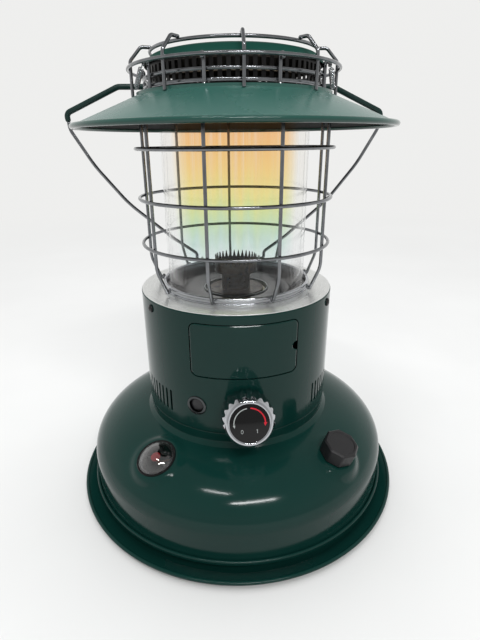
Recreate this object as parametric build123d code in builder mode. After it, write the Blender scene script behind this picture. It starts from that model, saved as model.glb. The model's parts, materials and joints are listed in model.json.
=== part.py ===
"""Lantern kerosene heater: a wick burner in a round glass chimney, on a domed fuel tank and a drip tray.

Millimetres. +Z is up, the front (control knob and door) faces -Y, and the origin is the centre of the
tray's underside, on the floor. Every sub-part is its own BuildPart and its own STEP file.
"""

import os
from math import acos, asin, cos, degrees, pi, radians, sin, sqrt, tan

from build123d import *

# ---------------------------------------------------------------- driving dimensions
SHEET = 0.8                     # pressed steel sheet
WALL_REACH = 6.0                # length of the tools that cut through a round wall
RUNNING = 0.05                  # radial clearance of a pin in its hole
GAP = 0.3                       # clearance between parts that only stand next to each other
FRONT = -90                     # polar angle of the front

TRAY_RADIUS = 194.0
TRAY_RIM_Z = 10.0
TRAY_RIM_ROLL = 2.0
TRAY_MOAT = 42.0                # width of the ring outside the raised floor
TRAY_DISH = 20.0                # width of the part that curves up to the rim
TRAY_STEP = 4.0
TRAY_FLOOR_RISE = 2.0

FEET_COUNT = 4
FOOT_RADIUS = 11.0
FOOT_HEIGHT = 7.2
FOOT_INSET = 24.0               # from the edge of the tray's floor to a foot's middle

SEAM_RADIUS = 180.0             # rolled seam where the tank's two pressings meet
PAN_KNEE_RADIUS = 160.0
PAN_RISE = 6.0
TANK_RADIUS = 176.7
TANK_WALL_HEIGHT = 32.0
DOME_WIDTH = 79.0               # horizontal half axis of the dome's elliptical shoulder
DOME_HEIGHT = 48.8              # vertical half axis of the same shoulder
DOME_END = 4.38                 # how far outside the collar the dome ends
COLLAR_HEIGHT = 11.0
WELL_DRAFT = 3.0
TANK_TOP_Z = 113.0
TANK_WELL_Z = 106.8             # sunken deck inside the housing
SEAM_BEAD = 1.6
SEAT_DEPTH = 4.0                # pressed seats for the gauge and the filler neck
SEAT_PROUD = 0.8
SEAT_LAND = 5.0

HOUSING_RADIUS = 105.8
HOUSING_TOP_Z = 243.8
HOUSING_LIP = 6.0
VENT_COUNT = 8
VENT_PITCH = 3.8
VENT_FIRST = 46.0
VENT_WIDTH = 3.0
VENT_HEIGHT = 25.0
VENT_Z = 138.0
SCREW_COUNT = 3
SCREW_DROP = 8.5                # screw axis below the housing's top edge
SCREW_SHANK_RADIUS = 2.0
SCREW_HEAD_RADIUS = 4.2
SCREW_HEAD = 2.2
SCREW_LENGTH = 9.0

GLASS_RADIUS = 75.0
GLASS_WALL = 3.0
GLASS_HEIGHT = 181.2
SEAT_RING_RADIUS = 79.7
SEAT_RING_ROLL = 1.7
SEAT_RING_Z = 250.4
PLATE_LEDGE = 4.0               # how far the top plate reaches in under the glass seat
PLATE_LIP = 5.0
BOWL_WALL_Z = 238.0
BOWL_LEDGE_DROP = 4.2

DRAFT_TUBE_RADIUS = 30.5        # inner wick tube, which also brings air up the middle
DRAFT_TUBE_WALL = 1.0
WICK_WALL = 3.0
CARRIER_WALL = 1.0
WICK_TUBE_WALL = 1.0
WICK_TUBE_TOP_Z = 240.0
WICK_LENGTH = 84.0
WICK_TRAVEL = 10.0
CROWN_TEETH = 30
CROWN_TOOTH = 1.0                # width of a tooth's tip
CROWN_TOOTH_DEPTH = 7.0
CROWN_RADIUS = 23.2
CROWN_HEIGHT = 16.5
SPREADER_RADIUS = 16.0
SPREADER_HOLES = 12
SPREADER_HEIGHT = 21.5

GUARD_WIRE = 3.4
UPRIGHT_COUNT = 9
UPRIGHT_RADIUS = 96.3
UPRIGHT_NECK_RADIUS = 89.0
UPRIGHT_SHOULDER_Z = 425.0
UPRIGHT_NECK_Z = 436.0
UPRIGHT_TOP_Z = 457.0
WAIST_Z = 272.0
RING_HEIGHTS = (294.0, 340.0, 387.0)
NECK_RING_HEIGHTS = (439.0, 447.0)
WELD = 0.3                      # depth that crossing wires sink into each other at a spot weld

SHADE_RADIUS = 157.3
SHADE_RIM_ROLL = 2.4
SHADE_RIM_Z = 406.8
SHADE_OPENING_RADIUS = 93.4
SHADE_OPENING_Z = 432.5
SHADE_COLLAR = 3.0

DRUM_RADIUS = 82.2
DRUM_TOP_Z = 460.6
LOUVER_COUNT = 72
LOUVER_WIDTH = 3.6
LOUVER_HEIGHT = 8.0
LOUVER_HEIGHTS = (441.5, 451.5)
CAP_RADIUS = 85.0
CAP_RIM_Z = 457.6
CAP_SHOULDER_RADIUS = 75.0
CAP_SHOULDER_Z = 467.6
CAP_CROWN_Z = 470.2

CROWN_WIRE = 3.0
CROWN_POSTS = 9
CROWN_POST_RADIUS = 97.5
CROWN_POST_BEND_Z = 461.0
CROWN_TOP_Z = 474.0
CROWN_BEND_RADIUS = 87.0
CROWN_RING_RADIUS = 79.0
CROWN_BAND_Z = 455.0

KNOB_RADIUS = 25.5
KNOB_FACE_RADIUS = 21.0
KNOB_LENGTH = 31.0
KNOB_FLUTES = 20
KNOB_STAND_OFF = 39.2           # how far in front of the housing the knob's face stands
KNOB_FACE_Z = 153.0
KNOB_TILT = 15.0
DIAL_RADIUS = 18.5
SHAFT_RADIUS = 3.0
BUSH_RADIUS = 6.0
PINION_TEETH = 8

STOP_ANGLE = -27.5
STOP_Z = 143.0
STOP_RADIUS = 7.8
STOP_TRAVEL = 4.0

GAUGE_ANGLE = -40.7
GAUGE_REACH = 141.8
GAUGE_RADIUS = 17.0
GAUGE_LENS_RADIUS = 19.0
GAUGE_LENS_RISE = 9.0
FLOAT_ARM = 58.0

FILLER_ANGLE = 39.5
FILLER_REACH = 148.0
FILLER_TILT = 20.0
NECK_RADIUS = 15.0
NECK_WALL = 1.5
CAP_FLATS = 34.0
CAP_HEIGHT = 17.0

DOOR_HALF_WIDTH = 52.6
DOOR_HEIGHT = 56.0
DOOR_Z = 205.5
DOOR_CORNER = 6.0
DOOR_SHEET = 1.0
DOOR_GAP = 1.0
DOOR_PROUD = 0.5
HINGE_PIN_RADIUS = 1.5
HINGE_SET_BACK = 10.0
HINGE_DEPTH = 5.5

HANDLE_WIRE = 4.0
GRIP_RADIUS = 3.2
HANDLE_PIVOT_X = 44.0
HANDLE_INSET = 17.8             # pivot's distance inside the housing's wall
HANDLE_PIVOT_Z = 249.0
HANDLE_HEIGHT = 205.0
HANDLE_HALF_WIDTH = 188.5
HANDLE_TOP_HALF_WIDTH = 130.0
HANDLE_SHOULDER = 37.0          # how far below the grip the legs end
HANDLE_BOW = ((0.2, 0.141), (0.567, 0.356), (0.823, 0.576))     # the leg's bends, as shares of its reach
HANDLE_BOW_RADII = (0.45, 0.68, 0.68)                           # and their radii, as shares of its span

BATTERY_RADIUS = 13.1
BATTERY_LENGTH = 50.0
CASE_WALL = 2.5
LID_THICKNESS = 2.0

# ---------------------------------------------------------------- worked-out places
tray_floor_z = TRAY_FLOOR_RISE + SHEET
tray_floor_radius = TRAY_RADIUS - TRAY_MOAT
pan_z = tray_floor_z + FOOT_HEIGHT
seam_z = pan_z + PAN_RISE + SHEET
dome_base_z = seam_z + SHEET + TANK_WALL_HEIGHT
dome_centre = TANK_RADIUS - DOME_WIDTH
plate_top_z = HOUSING_TOP_Z + SHEET
ledge_z = SEAT_RING_Z - BOWL_LEDGE_DROP
glass_base_z = ledge_z + SHEET
glass_top_z = glass_base_z + GLASS_HEIGHT
wick_radius = DRAFT_TUBE_RADIUS + GAP
carrier_radius = wick_radius + WICK_WALL
wick_tube_bore = carrier_radius + CARRIER_WALL + GAP
wick_tube_radius = wick_tube_bore + WICK_TUBE_WALL
wick_top_z = WICK_TUBE_TOP_Z - 4.0
handle_pivot_y = HOUSING_RADIUS - HANDLE_INSET
knob_face_reach = HOUSING_RADIUS + KNOB_STAND_OFF
knob_axis = Vector(0, -cos(radians(KNOB_TILT)), sin(radians(KNOB_TILT)))
knob_face = Plane(origin=(0, -knob_face_reach, KNOB_FACE_Z), x_dir=(1, 0, 0), z_dir=knob_axis)


collar_radius = HOUSING_RADIUS - SHEET
dome_sweep = degrees(acos((collar_radius + DOME_END - dome_centre) / DOME_WIDTH))


def front_point(angle, radius, z):
    """The point at a bearing from the front (positive to the right), a radius and a height."""
    return Vector(radius * sin(radians(angle)), -radius * cos(radians(angle)), z)


def dome_z(radius):
    """Height of the tank's dome at a radius from the axis."""
    share = (radius - dome_centre) / DOME_WIDTH
    return dome_base_z + DOME_HEIGHT * sqrt(1 - share * share)


def seat_plane(angle, reach, tilt):
    """The plane of a fitting that stands on the dome, leaning outwards by a tilt."""
    out = front_point(angle, 1, 0)
    lean = out * sin(radians(tilt)) + Vector(0, 0, cos(radians(tilt)))
    across = Vector(cos(radians(angle)), sin(radians(angle)), 0)
    return Plane(origin=front_point(angle, reach, dome_z(reach)), x_dir=across, z_dir=lean)


def spun_sheet(points, radii, sheet=SHEET, side=Side.LEFT):
    """A pressing of revolution: one filleted line, given the thickness of its sheet."""
    with BuildPart() as spun:
        with BuildSketch(Plane.XZ):
            with BuildLine():
                FilletPolyline(*points, radius=radii)
                offset(amount=sheet, side=side)
            make_face()
        revolve(axis=Axis.Z)
    return spun.part


def spun_outline(*points):
    """A solid of revolution from a closed outline of straight edges."""
    with BuildPart() as spun:
        with BuildSketch(Plane.XZ):
            with BuildLine():
                Polyline(*points, close=True)
            make_face()
        revolve(axis=Axis.Z)
    return spun.part


def hoop(radius, z, wire):
    """A ring of round wire about the heater's axis."""
    with BuildPart() as ring:
        with BuildSketch(Plane.XZ):
            with Locations((radius, z)):
                Circle(wire / 2)
        revolve(axis=Axis.Z)
    return ring.part


def bent_wire(plane, points, radii, wire):
    """A round wire bent along a filleted line that lies in a plane."""
    with BuildPart() as rod:
        with BuildLine(plane) as route:
            FilletPolyline(*points, radius=radii)
        with BuildSketch(Plane(origin=route.line @ 0, z_dir=route.line % 0)):
            Circle(wire / 2)
        sweep(path=route.line)
    return rod.part


def tube(plane, outer, bore, start, end):
    """A round tube along a plane's normal."""
    with BuildPart() as pipe:
        with BuildSketch(plane.offset(start)):
            Circle(outer)
            if bore:
                Circle(bore, mode=Mode.SUBTRACT)
        extrude(amount=end - start)
    return pipe.part


def cut_round(cutter, count, first=0):
    """Cut copies of a tool, spaced evenly about the heater's axis, from the piece in hand."""
    with PolarLocations(0, count, start_angle=first):
        add(cutter, mode=Mode.SUBTRACT)


def wall_tool(sketch):
    """A cutting tool: a sketch drawn on a plane just inside a wall and pushed out through it along +X."""
    with BuildPart() as tool:
        extrude(sketch, amount=WALL_REACH)
    return tool.part


def inside_wall(radius):
    """The plane just inside a round wall, facing +X, for the sketch of a cutting tool."""
    return Plane.YZ.offset(radius - WALL_REACH / 2)


def save(part, label):
    """Name a finished piece and write its STEP file."""
    part.label = label
    export_step(part, f"parts/{label}.step")


os.makedirs("parts", exist_ok=True)

# ---------------------------------------------------------------- tray, feet and tank
with BuildPart() as drip_tray:
    add(
        spun_sheet(
            [
                (0, TRAY_FLOOR_RISE),
                (tray_floor_radius, TRAY_FLOOR_RISE),
                (tray_floor_radius + TRAY_STEP, 0),
                (TRAY_RADIUS - TRAY_DISH, 0),
                (TRAY_RADIUS - 1.5 * TRAY_RIM_ROLL, TRAY_RIM_Z - TRAY_RIM_ROLL),
            ],
            [1.5, 1.5, 8],
        )
    )
    add(hoop(TRAY_RADIUS - TRAY_RIM_ROLL, TRAY_RIM_Z - TRAY_RIM_ROLL, 2 * TRAY_RIM_ROLL))
save(drip_tray.part, "drip_tray")

with BuildPart() as tank_feet:
    with BuildSketch(Plane.XY.offset(tray_floor_z)):
        with PolarLocations(tray_floor_radius - FOOT_INSET, FEET_COUNT, start_angle=45):
            Circle(FOOT_RADIUS)
    extrude(amount=FOOT_HEIGHT, taper=8)
save(tank_feet.part, "tank_feet")

tank_pan = spun_sheet(
    [
        (DRAFT_TUBE_RADIUS, pan_z),
        (PAN_KNEE_RADIUS, pan_z),
        (PAN_KNEE_RADIUS + 12, pan_z + PAN_RISE),
        (SEAM_RADIUS, pan_z + PAN_RISE),
    ],
    [10, 4],
)
save(tank_pan, "tank_pan")

gauge_plane = seat_plane(GAUGE_ANGLE, GAUGE_REACH, 22.0)
filler_plane = seat_plane(FILLER_ANGLE, FILLER_REACH, FILLER_TILT)
well_radius = collar_radius - HOUSING_LIP

with BuildPart() as tank_shell:
    with BuildSketch(Plane.XZ):
        with BuildLine():
            outer_dome = EllipticalCenterArc(
                (dome_centre, dome_base_z), DOME_WIDTH, DOME_HEIGHT, start_angle=0, arc_size=dome_sweep
            )
            inner_dome = EllipticalCenterArc(
                (dome_centre, dome_base_z),
                DOME_WIDTH - SHEET,
                DOME_HEIGHT - SHEET,
                start_angle=0,
                arc_size=dome_sweep,
            )
            Polyline(
                outer_dome @ 0,
                (TANK_RADIUS, seam_z + SHEET),
                (SEAM_RADIUS, seam_z + SHEET),
                (SEAM_RADIUS, seam_z),
                (TANK_RADIUS - SHEET, seam_z),
                inner_dome @ 0,
            )
            Polyline(
                outer_dome @ 1,
                (collar_radius, TANK_TOP_Z - COLLAR_HEIGHT),
                (collar_radius, TANK_TOP_Z),
                (well_radius, TANK_TOP_Z),
                (well_radius - WELL_DRAFT, TANK_WELL_Z),
                (wick_tube_radius, TANK_WELL_Z),
                (wick_tube_radius, TANK_WELL_Z - SHEET),
                (well_radius - WELL_DRAFT + SHEET, TANK_WELL_Z - SHEET),
                (well_radius + SHEET, TANK_TOP_Z - SHEET),
                (collar_radius - SHEET, TANK_TOP_Z - SHEET),
                (collar_radius - SHEET, TANK_TOP_Z - COLLAR_HEIGHT - SHEET),
                inner_dome @ 1,
            )
        make_face()
    revolve(axis=Axis.Z)
    add(hoop(SEAM_RADIUS - SEAM_BEAD + 0.2, seam_z + SHEET + 1.0, 2 * SEAM_BEAD))
    for seat, bore in ((gauge_plane, GAUGE_RADIUS), (filler_plane, NECK_RADIUS)):
        with BuildSketch(seat.offset(-SEAT_DEPTH)):
            Circle(bore + SEAT_LAND)
        extrude(amount=SEAT_DEPTH + SEAT_PROUD)
        with BuildSketch(seat.offset(-3 * SEAT_DEPTH)):
            Circle(bore)
        extrude(amount=6 * SEAT_DEPTH, mode=Mode.SUBTRACT)
save(tank_shell.part, "tank_shell")

# ---------------------------------------------------------------- burner: tubes, wick, crown, spreader
save(
    tube(Plane.XY, DRAFT_TUBE_RADIUS, DRAFT_TUBE_RADIUS - DRAFT_TUBE_WALL, pan_z, WICK_TUBE_TOP_Z - 2),
    "draft_tube",
)

rack_side = SHAFT_RADIUS + 0.8              # pitch radius of the pinion on the knob's shaft
rack_centre_z = KNOB_FACE_Z - (knob_face_reach - wick_tube_radius - 5) * tan(radians(KNOB_TILT))
rack_bottom_z = TANK_WELL_Z + 1.0
rack_top_z = rack_centre_z + 11.0

with BuildPart() as wick_tube:
    add(tube(Plane.XY, wick_tube_radius, wick_tube_bore, TANK_WELL_Z - 45, WICK_TUBE_TOP_Z))
    window_height = rack_top_z + WICK_TRAVEL + 2 - TANK_WELL_Z
    with BuildSketch(Plane.XZ):
        with Locations((-rack_side - 2.3, TANK_WELL_Z + window_height / 2)):
            Rectangle(8, window_height)
    extrude(amount=wick_tube_radius + 5, mode=Mode.SUBTRACT)
save(wick_tube.part, "wick_tube")

save(tube(Plane.XY, carrier_radius, wick_radius, wick_top_z - WICK_LENGTH, wick_top_z), "wick")

tooth_pitch = 2 * pi * rack_side / PINION_TEETH
shaft_foot = knob_face_reach - wick_tube_radius - 5     # reach along -Y from the knob's face to the pinion
pinion_plane = Plane(
    origin=(0, -knob_face_reach + shaft_foot, rack_centre_z), x_dir=(1, 0, 0), z_dir=knob_axis
)

rack_width = 5.6
rack_reach = wick_tube_radius + 7.5
with BuildPart() as wick_carrier:
    with BuildSketch(Plane.XZ.offset(carrier_radius)):
        with Locations((-rack_side - 2.2, (rack_bottom_z + rack_top_z) / 2)):
            Rectangle(rack_width, rack_top_z - rack_bottom_z)
    extrude(amount=rack_reach - carrier_radius)
    with BuildSketch(pinion_plane.offset(-3 * WICK_TRAVEL / 2)):
        for step in range(-7, 5):
            with Locations((-rack_side - 0.1, (step + 0.5) * tooth_pitch)):
                Rectangle(2.9, tooth_pitch * 0.66)
    extrude(amount=3 * WICK_TRAVEL, mode=Mode.SUBTRACT)
    sleeve_top_z = wick_top_z - WICK_LENGTH + 24
    add(tube(Plane.XY, carrier_radius + CARRIER_WALL, carrier_radius, rack_bottom_z, sleeve_top_z))
save(wick_carrier.part, "wick_carrier")

spreader_base_z = WICK_TUBE_TOP_Z - 2 + GAP / 2
spreader_top_z = spreader_base_z + SPREADER_HEIGHT
crown_top_z = spreader_top_z + CROWN_HEIGHT
crown_gap_width = 2 * pi * CROWN_RADIUS / CROWN_TEETH - CROWN_TOOTH

with BuildSketch(inside_wall(CROWN_RADIUS)) as crown_gap:
    with BuildLine():
        Polyline(
            (-crown_gap_width / 2, crown_top_z + 1),
            (-crown_gap_width / 2, crown_top_z - 1),
            (-0.5, crown_top_z - CROWN_TOOTH_DEPTH),
            (0.5, crown_top_z - CROWN_TOOTH_DEPTH),
            (crown_gap_width / 2, crown_top_z - 1),
            (crown_gap_width / 2, crown_top_z + 1),
            close=True,
        )
    make_face()
with BuildPart() as flame_crown:
    add(tube(Plane.XY, CROWN_RADIUS, CROWN_RADIUS - SHEET, spreader_top_z, crown_top_z))
    cut_round(wall_tool(crown_gap.sketch), CROWN_TEETH)
save(flame_crown.part, "flame_crown")

with BuildSketch(inside_wall(SPREADER_RADIUS)) as air_holes:
    for row in range(3):
        with Locations((0, spreader_base_z + 5 + 5 * row)):
            Circle(1.1)
with BuildPart() as flame_spreader:
    add(tube(Plane.XY, SPREADER_RADIUS, SPREADER_RADIUS - SHEET, spreader_base_z, spreader_top_z))
    add(tube(Plane.XY, CROWN_RADIUS + SHEET, 0, spreader_top_z - SHEET, spreader_top_z))
    flange_top_z = spreader_base_z + SHEET
    add(tube(Plane.XY, DRAFT_TUBE_RADIUS, SPREADER_RADIUS - SHEET, spreader_base_z, flange_top_z))
    cut_round(wall_tool(air_holes.sketch), SPREADER_HOLES)
save(flame_spreader.part, "flame_spreader")

save(
    spun_sheet(
        [
            (wick_tube_radius + GAP, BOWL_WALL_Z),
            (SEAT_RING_RADIUS - 19, BOWL_WALL_Z + 2),
            (GLASS_RADIUS - GLASS_WALL - 2, ledge_z),
            (SEAT_RING_RADIUS - SHEET / 2, ledge_z),
        ],
        [8, 3],
    ),
    "burner_bowl",
)

with BuildPart() as seat_ring:
    add(tube(Plane.XY, SEAT_RING_RADIUS + SHEET / 2, SEAT_RING_RADIUS - SHEET / 2, plate_top_z, SEAT_RING_Z))
    add(hoop(SEAT_RING_RADIUS, SEAT_RING_Z, 2 * SEAT_RING_ROLL))
save(seat_ring.part, "seat_ring")

with BuildPart() as glass_chimney:
    add(tube(Plane.XY, GLASS_RADIUS, GLASS_RADIUS - GLASS_WALL, glass_base_z, glass_top_z))
    fillet(glass_chimney.edges().filter_by(GeomType.CIRCLE), radius=0.9)
save(glass_chimney.part, "glass_chimney")

# ---------------------------------------------------------------- housing and its fittings
stop_plane = Plane(
    origin=front_point(STOP_ANGLE, HOUSING_RADIUS, STOP_Z),
    x_dir=(cos(radians(STOP_ANGLE)), sin(radians(STOP_ANGLE)), 0),
    z_dir=front_point(STOP_ANGLE, 1, 0),
)
bush_plane = Plane(
    origin=(0, -HOUSING_RADIUS, KNOB_FACE_Z - KNOB_STAND_OFF * tan(radians(KNOB_TILT))),
    x_dir=(1, 0, 0),
    z_dir=knob_axis,
)
cup_radius = STOP_RADIUS + RUNNING + SHEET
screw_z = HOUSING_TOP_Z - SCREW_DROP


def screw_planes(radius):
    """One plane for each housing screw, on the wall and facing outwards."""
    for index in range(SCREW_COUNT):
        bearing = 60 + index * 360 / SCREW_COUNT
        yield Plane(origin=front_point(bearing, radius, screw_z), z_dir=front_point(bearing, 1, 0))


with BuildSketch(inside_wall(HOUSING_RADIUS)) as vent:
    with Locations((0, VENT_Z)):
        SlotOverall(VENT_HEIGHT, VENT_WIDTH, rotation=90)
with BuildPart() as housing:
    add(tube(Plane.XY, HOUSING_RADIUS, HOUSING_RADIUS - SHEET, TANK_TOP_Z, HOUSING_TOP_Z))
    add(tube(Plane.XY, HOUSING_RADIUS - SHEET / 2, well_radius, TANK_TOP_Z, TANK_TOP_Z + SHEET))
    add(tube(Plane.XY, HOUSING_RADIUS - SHEET / 2, well_radius, HOUSING_TOP_Z - SHEET, HOUSING_TOP_Z))
    with BuildSketch(Plane.XZ):
        with Locations((0, DOOR_Z)):
            RectangleRounded(
                2 * (DOOR_HALF_WIDTH + DOOR_GAP), DOOR_HEIGHT + 2 * DOOR_GAP, DOOR_CORNER + DOOR_GAP
            )
    extrude(amount=HOUSING_RADIUS + 5, mode=Mode.SUBTRACT)
    with BuildSketch(stop_plane.offset(-HOUSING_RADIUS / 4)):
        Circle(cup_radius)
    extrude(amount=HOUSING_RADIUS / 2, mode=Mode.SUBTRACT)
    with BuildSketch(bush_plane.offset(-12)):
        Circle(BUSH_RADIUS)
    extrude(amount=20, mode=Mode.SUBTRACT)
    for plane in screw_planes(HOUSING_RADIUS):
        with BuildSketch(plane.offset(-6)):
            Circle(SCREW_SHANK_RADIUS)
        extrude(amount=10, mode=Mode.SUBTRACT)
    for side in (-1, 1):
        for step in range(VENT_COUNT):
            bearing = side * (VENT_FIRST + step * VENT_PITCH)
            cut_round(wall_tool(vent.sketch), 1, FRONT + bearing)
save(housing.part, "housing")

with BuildPart() as top_plate:
    plate_bore = SEAT_RING_RADIUS - PLATE_LEDGE
    add(tube(Plane.XY, HOUSING_RADIUS - SHEET, plate_bore, HOUSING_TOP_Z, plate_top_z))
    lip_top_z = HOUSING_TOP_Z + SHEET / 2
    add(tube(Plane.XY, plate_bore + SHEET, plate_bore, HOUSING_TOP_Z - PLATE_LIP, lip_top_z))
save(top_plate.part, "top_plate")

with BuildPart() as housing_screws:
    for plane in screw_planes(HOUSING_RADIUS):
        add(tube(plane, SCREW_HEAD_RADIUS, 0, 0.1, SCREW_HEAD))
        add(tube(plane, SCREW_SHANK_RADIUS, 0, -SCREW_LENGTH, 0.1))
save(housing_screws.part, "housing_screws")

# ---------------------------------------------------------------- wire guard round the glass
neck_ring_radius = UPRIGHT_NECK_RADIUS - GUARD_WIRE + WELD
belt_ring_radius = UPRIGHT_RADIUS + GUARD_WIRE - WELD
foot_radius = SEAT_RING_RADIUS + SEAT_RING_ROLL + GUARD_WIRE / 2 - 0.3

upright = bent_wire(
    Plane.XZ,
    [
        (foot_radius, SEAT_RING_Z + 1.8),
        (foot_radius + 2.6, plate_top_z + GUARD_WIRE / 2 - 0.3),
        (UPRIGHT_RADIUS, WAIST_Z),
        (UPRIGHT_RADIUS, UPRIGHT_SHOULDER_Z),
        (UPRIGHT_NECK_RADIUS, UPRIGHT_NECK_Z),
        (UPRIGHT_NECK_RADIUS, UPRIGHT_TOP_Z),
        (UPRIGHT_NECK_RADIUS + 4.5, UPRIGHT_TOP_Z),
        (UPRIGHT_NECK_RADIUS + 4.5, UPRIGHT_TOP_Z - 4),
    ],
    [2.4, 30, 9, 9, 2, 2],
    GUARD_WIRE,
)
upright_step = 360 / UPRIGHT_COUNT
with BuildPart() as guard_uprights:
    with PolarLocations(0, UPRIGHT_COUNT, start_angle=FRONT + upright_step / 2):
        add(upright)
save(guard_uprights.part, "guard_uprights")

with BuildPart() as guard_rings:
    for height in RING_HEIGHTS:
        add(hoop(belt_ring_radius, height, GUARD_WIRE))
save(guard_rings.part, "guard_rings")

with BuildPart() as neck_rings:
    for height in NECK_RING_HEIGHTS:
        add(hoop(neck_ring_radius, height, GUARD_WIRE))
save(neck_rings.part, "neck_rings")

# ---------------------------------------------------------------- shade, louvred drum and cap
rim_centre = SHADE_RADIUS - SHADE_RIM_ROLL
shade_slope = (SHADE_OPENING_Z - SHADE_RIM_Z) / (rim_centre - SHADE_OPENING_RADIUS)


def shade_z(radius):
    """Height of the shade's upper face at a radius from the axis."""
    rise = SHEET * sqrt(1 + shade_slope * shade_slope)
    return SHADE_OPENING_Z - shade_slope * (radius - SHADE_OPENING_RADIUS) + rise


with BuildPart() as shade:
    add(
        spun_sheet(
            [
                (SHADE_OPENING_RADIUS, SHADE_OPENING_Z + SHADE_COLLAR),
                (SHADE_OPENING_RADIUS, SHADE_OPENING_Z),
                (rim_centre - 1, SHADE_RIM_Z + shade_slope),
            ],
            [1.2],
        )
    )
    add(hoop(rim_centre, SHADE_RIM_Z, 2 * SHADE_RIM_ROLL))
save(shade.part, "shade")

web_z = glass_top_z + GAP
top_seat = spun_outline(
    (GLASS_RADIUS + GAP, glass_top_z - 4),
    (GLASS_RADIUS + GAP + SHEET, glass_top_z - 4),
    (GLASS_RADIUS + GAP + SHEET, web_z),
    (DRUM_RADIUS + 1, web_z),
    (DRUM_RADIUS + 1, web_z + SHEET),
    (GLASS_RADIUS - GLASS_WALL - 6, web_z + SHEET),
    (GLASS_RADIUS - GLASS_WALL - 6, web_z),
    (GLASS_RADIUS + GAP, web_z),
)
save(top_seat, "chimney_collar")

with BuildSketch(inside_wall(DRUM_RADIUS)) as louvers:
    for height in LOUVER_HEIGHTS:
        with Locations((0, height)):
            Rectangle(LOUVER_WIDTH, LOUVER_HEIGHT)
with BuildPart() as louver_drum:
    add(tube(Plane.XY, DRUM_RADIUS, DRUM_RADIUS - SHEET, web_z + SHEET, DRUM_TOP_Z))
    cut_round(wall_tool(louvers.sketch), LOUVER_COUNT)
save(louver_drum.part, "louver_drum")

top_cap = spun_outline(
    (CAP_RADIUS, CAP_RIM_Z),
    (CAP_RADIUS, CAP_RIM_Z + 1.6),
    (CAP_SHOULDER_RADIUS + 4, CAP_SHOULDER_Z - 2),
    (CAP_SHOULDER_RADIUS - 4, CAP_SHOULDER_Z),
    (0, CAP_CROWN_Z),
    (0, CAP_CROWN_Z - SHEET),
    (CAP_SHOULDER_RADIUS - 4, CAP_SHOULDER_Z - SHEET),
    (CAP_SHOULDER_RADIUS + 3.4, CAP_SHOULDER_Z - 2 - SHEET),
    (CAP_RADIUS - SHEET, CAP_RIM_Z + 1.2),
    (CAP_RADIUS - SHEET, CAP_RIM_Z),
)
save(top_cap, "top_cap")

# ---------------------------------------------------------------- wire crown over the shade
crown_ring_outer = CROWN_POST_RADIUS + CROWN_WIRE - WELD
post_foot_z = shade_z(CROWN_POST_RADIUS - CROWN_WIRE / 2) + 0.02
post_top_z = CROWN_TOP_Z - CROWN_WIRE / 2
post = bent_wire(
    Plane.XZ,
    [
        (CROWN_POST_RADIUS, post_foot_z),
        (CROWN_POST_RADIUS, CROWN_POST_BEND_Z),
        (CROWN_BEND_RADIUS, post_top_z),
        (CROWN_RING_RADIUS - CROWN_WIRE / 2, post_top_z),
    ],
    [5, 5],
    CROWN_WIRE,
)
with BuildPart() as crown_posts:
    with PolarLocations(0, CROWN_POSTS, start_angle=FRONT):
        add(post)
save(crown_posts.part, "crown_posts")

with BuildPart() as crown_rings:
    add(hoop(CROWN_RING_RADIUS, post_top_z - CROWN_WIRE + WELD, CROWN_WIRE))
    add(hoop(crown_ring_outer, CROWN_BAND_Z, CROWN_WIRE))
save(crown_rings.part, "crown_rings")

with BuildPart() as shade_springs:
    for side in (-1, 1):
        low = front_point(side * 77.6, CROWN_POST_RADIUS - 3, shade_z(CROWN_POST_RADIUS) + 6)
        high = front_point(side * 62.6, UPRIGHT_NECK_RADIUS + 4.5, UPRIGHT_TOP_Z - 3)
        run = high - low
        add(tube(Plane(origin=low, z_dir=run), 2.6, 1.8, 0, run.length))
save(shade_springs.part, "shade_springs")

# ---------------------------------------------------------------- carrying handle
grip_y = crown_ring_outer + CROWN_WIRE / 2 + GRIP_RADIUS + GAP
handle_lean = asin((grip_y - handle_pivot_y) / HANDLE_HEIGHT)
handle_plane = Plane(
    origin=(0, handle_pivot_y, HANDLE_PIVOT_Z),
    x_dir=(1, 0, 0),
    z_dir=(0, -cos(handle_lean), sin(handle_lean)),
)
leg_top = (HANDLE_HALF_WIDTH, HANDLE_HEIGHT - HANDLE_SHOULDER)
leg_width = HANDLE_HALF_WIDTH - HANDLE_PIVOT_X
leg_span = sqrt(leg_width**2 + leg_top[1] ** 2)
bow = [(HANDLE_PIVOT_X + across * leg_width, up * HANDLE_HEIGHT) for across, up in HANDLE_BOW]
leg = bent_wire(
    handle_plane,
    [
        (HANDLE_PIVOT_X - 11, 0),
        (HANDLE_PIVOT_X, 0),
        (HANDLE_PIVOT_X, 9),
        *bow,
        (leg_top[0] - 1, leg_top[1] - 9),
        leg_top,
    ],
    [3.5, 6, *(share * leg_span for share in HANDLE_BOW_RADII), 25],
    HANDLE_WIRE,
)
with BuildPart() as handle_legs:
    add(leg)
    add(leg.mirror(Plane.YZ))
save(handle_legs.part, "handle_legs")

shoulder_point = (HANDLE_HALF_WIDTH + 1, HANDLE_HEIGHT - HANDLE_SHOULDER + 9)
grip_points = [leg_top, shoulder_point, (HANDLE_TOP_HALF_WIDTH - 2, HANDLE_HEIGHT)]
grip_points += [(-x, y) for x, y in reversed(grip_points)]
save(bent_wire(handle_plane, grip_points, [7, 14, 14, 7], 2 * GRIP_RADIUS), "handle_grip")

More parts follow.
